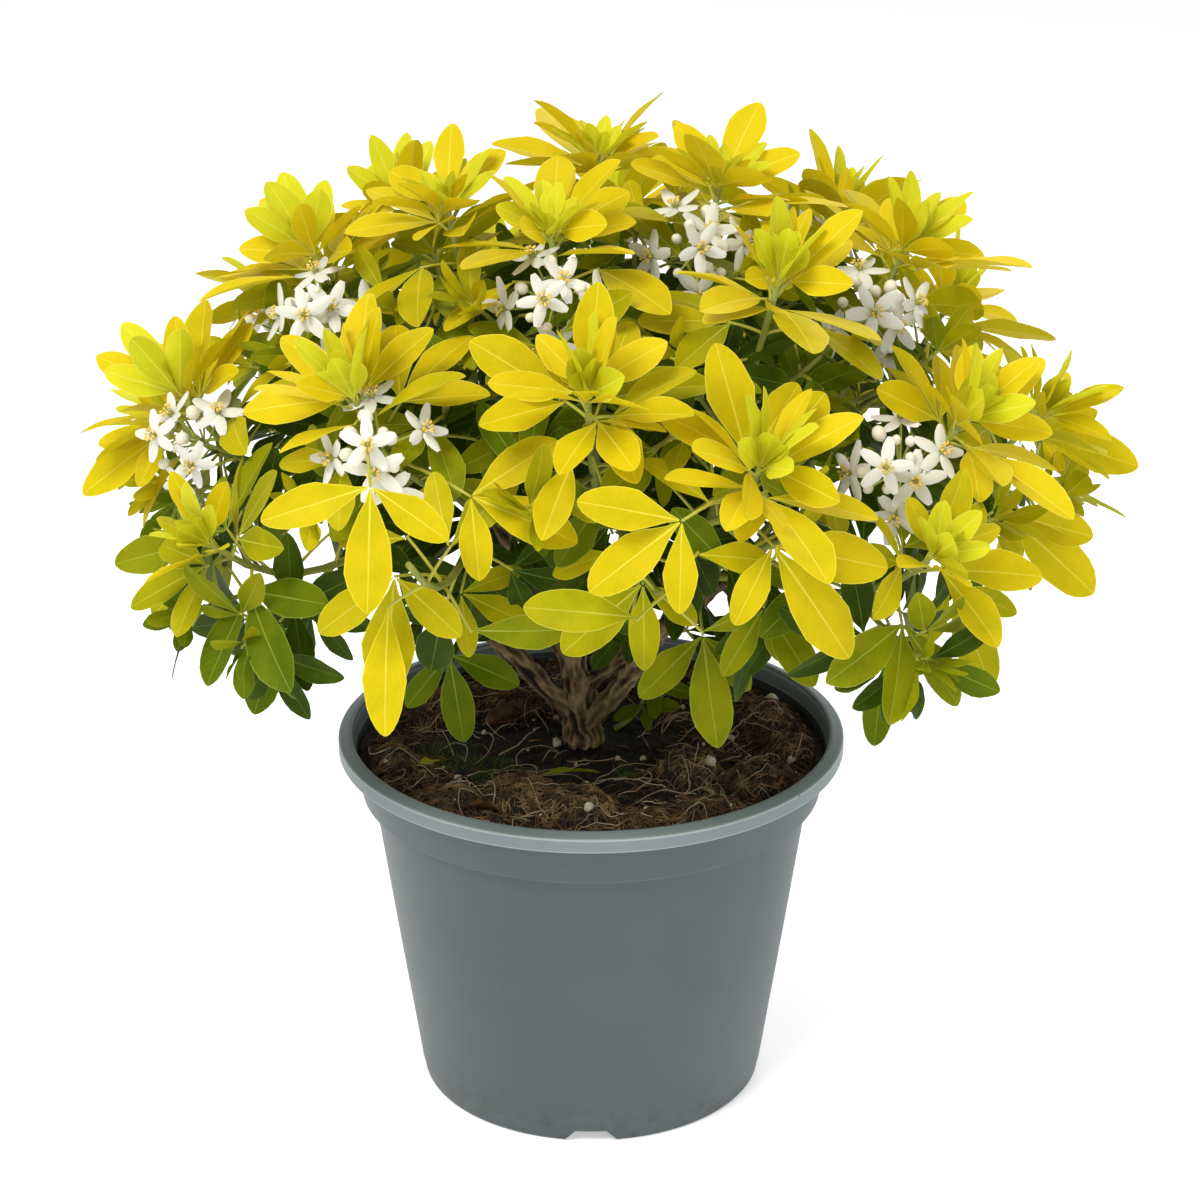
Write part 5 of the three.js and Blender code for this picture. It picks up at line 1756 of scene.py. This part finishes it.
# %% [markdown]
# The fibres are what makes the surface read as coir. Short brown ones lie in mats on the brown parts, and
# turn about the middle of a clod. Long pale root hairs run over all of it. Perlite grains are irregular,
# so their template is a ball that is pushed about by a noise.


# %% Fibres, moss and perlite
FIBRE = {"reach": 115, "off_trunk": 13, "curl": (0.2, 1.8), "vary": (0.7, 1.3)}


def fibre(x, y, length, heading, curl, lift, arch, steps):
    """A fibre's path over the compost"""
    spots = []
    for i in range(steps + 1):
        high = lift + arch * math.sin(math.pi * i / steps)
        spots.append((x, y, compost_height(x, y) + high))
        heading += curl / steps * chance.uniform(*FIBRE["curl"])
        x += math.cos(heading) * length / steps
        y += math.sin(heading) * length / steps
        edge = math.hypot(x, y)
        if edge > FIBRE["reach"]:
            x, y = x * FIBRE["reach"] / edge, y * FIBRE["reach"] / edge
    return spots


def scattered(count, spread, weight):
    """Seeded places on the disc outside the trunk, kept with a chance that weight gives"""
    spots = []
    while len(spots) < count:
        x, y = chance.uniform(-spread, spread, 2)
        off_trunk = math.hypot(x - TRUNK["foot"].x, y - TRUNK["foot"].y) > FIBRE["off_trunk"]
        if math.hypot(x, y) < spread and off_trunk and chance.random() < weight(x, y):
            spots.append((x, y))
    return spots


def even(x, y):
    """The same chance everywhere"""
    return 1


def strands(name, paths, thick, thin, material, slot):
    """A joined piece of strands, each a little thinner or thicker than the next"""
    steps = len(paths[0]) - 1
    template = tube_template(3, steps)
    scale = np.array([[chance.uniform(*FIBRE["vary"])] for _ in paths])
    radii = np.linspace(thick, thin, steps + 1)[None] * scale
    piece = joined(name, template, bent_tubes(template, np.array(paths), radii), [material])
    return settle(piece, name, slot)


MAT = {"length": (8, 22), "curl": (-2.4, 2.4), "arch": (0, 1.8), "lift": 0.2, "steps": 6}
CLOD_MAT = {"length": (10, 24), "curl": (-2, 2), "arch": (0, 2), "lift": 0.3, "steps": 6}
HAIR = {"length": (12, 44), "curl": (-3, 3), "arch": (0.5, 5), "lift": 0.5, "steps": 10}
ON_CLOD = {"count": 70, "share": 0.85, "turn": 1.2, "loose": 0.5}
BARE_SHARE = 0.03
TUFT = {"sink": 0.3, "lean": 0.5, "length": (1.2, 2.8)}
FULL_TURN = 2 * math.pi


def loose_fibre(x, y, heading, kind):
    """A fibre of a kind, with a seeded length, curl and arch"""
    length = chance.uniform(*kind["length"])
    curl = chance.uniform(*kind["curl"])
    arch = chance.uniform(*kind["arch"])
    return fibre(x, y, length, heading, curl, kind["lift"], arch, kind["steps"])


mats = []
for x, y in scattered(count=1700, spread=114, weight=lambda x, y: coir_share(x, y) + BARE_SHARE):
    mats.append(loose_fibre(x, y, chance.uniform(0, FULL_TURN), MAT))
for cx, cy, radius, _ in CLODS:
    for _ in range(ON_CLOD["count"]):
        turn = chance.uniform(0, FULL_TURN)
        off = radius * ON_CLOD["share"] * math.sqrt(chance.random())
        start = (cx + off * math.cos(turn), cy + off * math.sin(turn))
        heading = turn + chance.choice([-ON_CLOD["turn"], ON_CLOD["turn"]])
        heading += chance.normal(0, ON_CLOD["loose"])
        mats.append(loose_fibre(*start, heading, CLOD_MAT))
hairs = []
for x, y in scattered(count=150, spread=108, weight=even):
    hairs.append(loose_fibre(x, y, chance.uniform(0, FULL_TURN), HAIR))
coir_stops = [(0.32, (54, 39, 25)), (0.5, (104, 79, 50)), (0.66, (158, 126, 86))]
coir = finish("coir_fibre", coir_stops, scale=110, roughness=0.8)
root_stops = [(0.3, (166, 142, 108)), (0.7, (208, 190, 158))]
root_hair = finish("root_hair", root_stops, scale=90, roughness=0.7)
moss_stops = [(0.3, (52, 72, 16)), (0.7, (92, 112, 30))]
moss_green = finish("moss", moss_stops, scale=200, roughness=0.8)
strands("coir_fibres", mats, thick=0.42, thin=0.26, material=coir, slot="compost")
strands("root_hairs", hairs, thick=0.3, thin=0.16, material=root_hair, slot="compost")
tufts = []
for x, y in scattered(count=900, spread=112, weight=moss_share):
    foot = Vector((x, y, compost_height(x, y) - TUFT["sink"]))
    lean = Vector((chance.normal(0, TUFT["lean"]), chance.normal(0, TUFT["lean"]), 1)).normalized()
    lean *= chance.uniform(*TUFT["length"])
    tufts.append([foot, foot + lean * 0.5, foot + lean])
strands("moss_tufts", tufts, thick=0.34, thin=0.1, material=moss_green, slot="compost")


GRAIN = {"radius": (0.6, 1.7), "lift": 0.4, "stretch": (0.6, 1.5)}
CRUMB = {"radius": (0.5, 1.5), "lift": 0.3, "stretch": (0.7, 1.6)}
LUMPS = {"size": 1.4, "by": 0.55}
BIG_STRETCH = 1.3
BIG_GRAINS = [(-18, 5, 2.6), (-32, -39, 2.2), (60, -38, 3), (95, 47, 3), (-1, -86, 2.2), (102, -21, 2)]


def grain_template():
    """An irregular grain: an icosphere pushed about by a noise"""
    deselect_all()
    bpy.ops.mesh.primitive_ico_sphere_add(subdivisions=2, radius=MM)
    grain = bpy.context.object
    for vertex in grain.data.vertices:
        vertex.co *= 1 + LUMPS["by"] * noise.noise(vertex.co / MM * LUMPS["size"])
    return template_of(grain)


def loose_grain(x, y, kind):
    """A grain of a kind that lies on the compost: its place, way, radius and length"""
    radius = chance.uniform(*kind["radius"])
    spot = Vector((x, y, compost_height(x, y) + radius * kind["lift"]))
    return spot, chance.normal(0, 1, 3), radius, radius * chance.uniform(*kind["stretch"])


grain = grain_template()
grains = [loose_grain(x, y, GRAIN) for x, y in scattered(count=34, spread=110, weight=even)]
for x, y, radius in BIG_GRAINS:
    spot = Vector((x, y, compost_height(x, y) + radius * 0.5))
    grains.append((spot, chance.normal(0, 1, 3), radius, radius * BIG_STRETCH))
crumbs = [loose_grain(x, y, CRUMB) for x, y in scattered(count=700, spread=113, weight=even)]
peat_stops = [(0.3, (20, 16, 12)), (0.55, (44, 34, 23)), (0.75, (84, 62, 40))]
peat_skin = {"bump": 0.6, "bump_scale": 1400, "bump_size": 0.0005}
peat = finish("peat_crumb", peat_stops, scale=60, roughness=0.75, **peat_skin)
settle(joined("crumbs", grain, placed_balls(grain, crumbs), [peat]), "peat_crumbs", "compost")
perlite_stops = [(0.3, (168, 158, 132)), (0.7, (216, 208, 184))]
perlite_skin = {"bump": 0.6, "bump_scale": 1200, "bump_size": 0.0005}
perlite = finish("perlite", perlite_stops, scale=400, roughness=0.85, **perlite_skin)
settle(joined("grains", grain, placed_balls(grain, grains), [perlite]), "perlite_grains", "compost")

# %% [markdown]
# Litter finishes the surface: one fallen leaflet that is still yellow-green, a small green seedling, and a
# few dead ones, brown and curled.

# %% Litter
LITTER = [
    (-26, -55, 0.1, 31, 0.12, 0.25, "fallen"),
    (-90, -24, 0.5, 15, 0.2, 0.2, "fallen"),
    (-88, -31, 2.4, 10, 0.2, 0.2, "fallen"),
    (62, -60, 4.1, 9, 0.3, 0.2, "fallen"),
    (-58, 24, 0.5, 34, 0.25, 0.9, "dead"),
    (-25, 68, 5.4, 36, 0.3, 0.8, "dead"),
    (-70, 50, 3.6, 30, 0.35, 0.7, "dead"),
    (66, 22, 1.2, 30, 0.3, 0.8, "dead"),
    (-96, 12, 4.4, 26, 0.3, 0.9, "dead"),
    (36, 74, 2.8, 32, 0.3, 0.7, "dead"),
    (-64, -80, 0.2, 20, 0.3, 0.9, "dead"),
]
FALLEN = {"rise": 0.12, "roll": (-30, 30), "lift": 1.5, "width": 1.05, "twist": 0.3, "wave": 1.2}
rows = []
fates = []
for x, y, heading, length, arch, fold, fate in LITTER:
    way = Vector((math.cos(heading), math.sin(heading), FALLEN["rise"])).normalized()
    side = way.cross(Vector((0, 0, 1))).normalized()
    face = turned(side.cross(way), way, chance.uniform(*FALLEN["roll"]))
    middle_x, middle_y = x + way.x * length / 2, y + way.y * length / 2
    lift = max(compost_height(x, y), compost_height(middle_x, middle_y)) + FALLEN["lift"]
    row = {"hub": Vector((x, y, lift)), "way": way, "face": face, "length": length, "arch": arch}
    row.update({"fold": fold, "width": FALLEN["width"], "twist": chance.normal(0, FALLEN["twist"])})
    row.update({"wave": FALLEN["wave"], "phase": x})
    rows.append(row)
    fates.append(fate)
fresh = thin_finish("fallen_leaf", (158, 166, 20), (130, 150, 16), 0.2)
withered = thin_finish("dead_leaf", (112, 80, 52), (70, 48, 30), 0.05)
for fate, material in {"fallen": fresh, "dead": withered}.items():
    chosen = [row for row, kind in zip(rows, fates) if kind == fate]
    litter = joined(fate, leaflet, bent_leaflets(leaflet, chosen), [material, material])
    settle(litter, f"{fate}_leaves", "compost")

# %% [markdown]
# The two boxes are written out at the end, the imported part's and the dressed one's, to show that the finer
# leaves stay within the solids' reach.

# %% Sizes and the last line
dressed_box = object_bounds()
for name, (low_corner, high_corner) in {"cad": cad_box, "visual": dressed_box}.items():
    print(name, [round(a / MM, 1) for a in low_corner], [round(a / MM, 1) for a in high_corner])
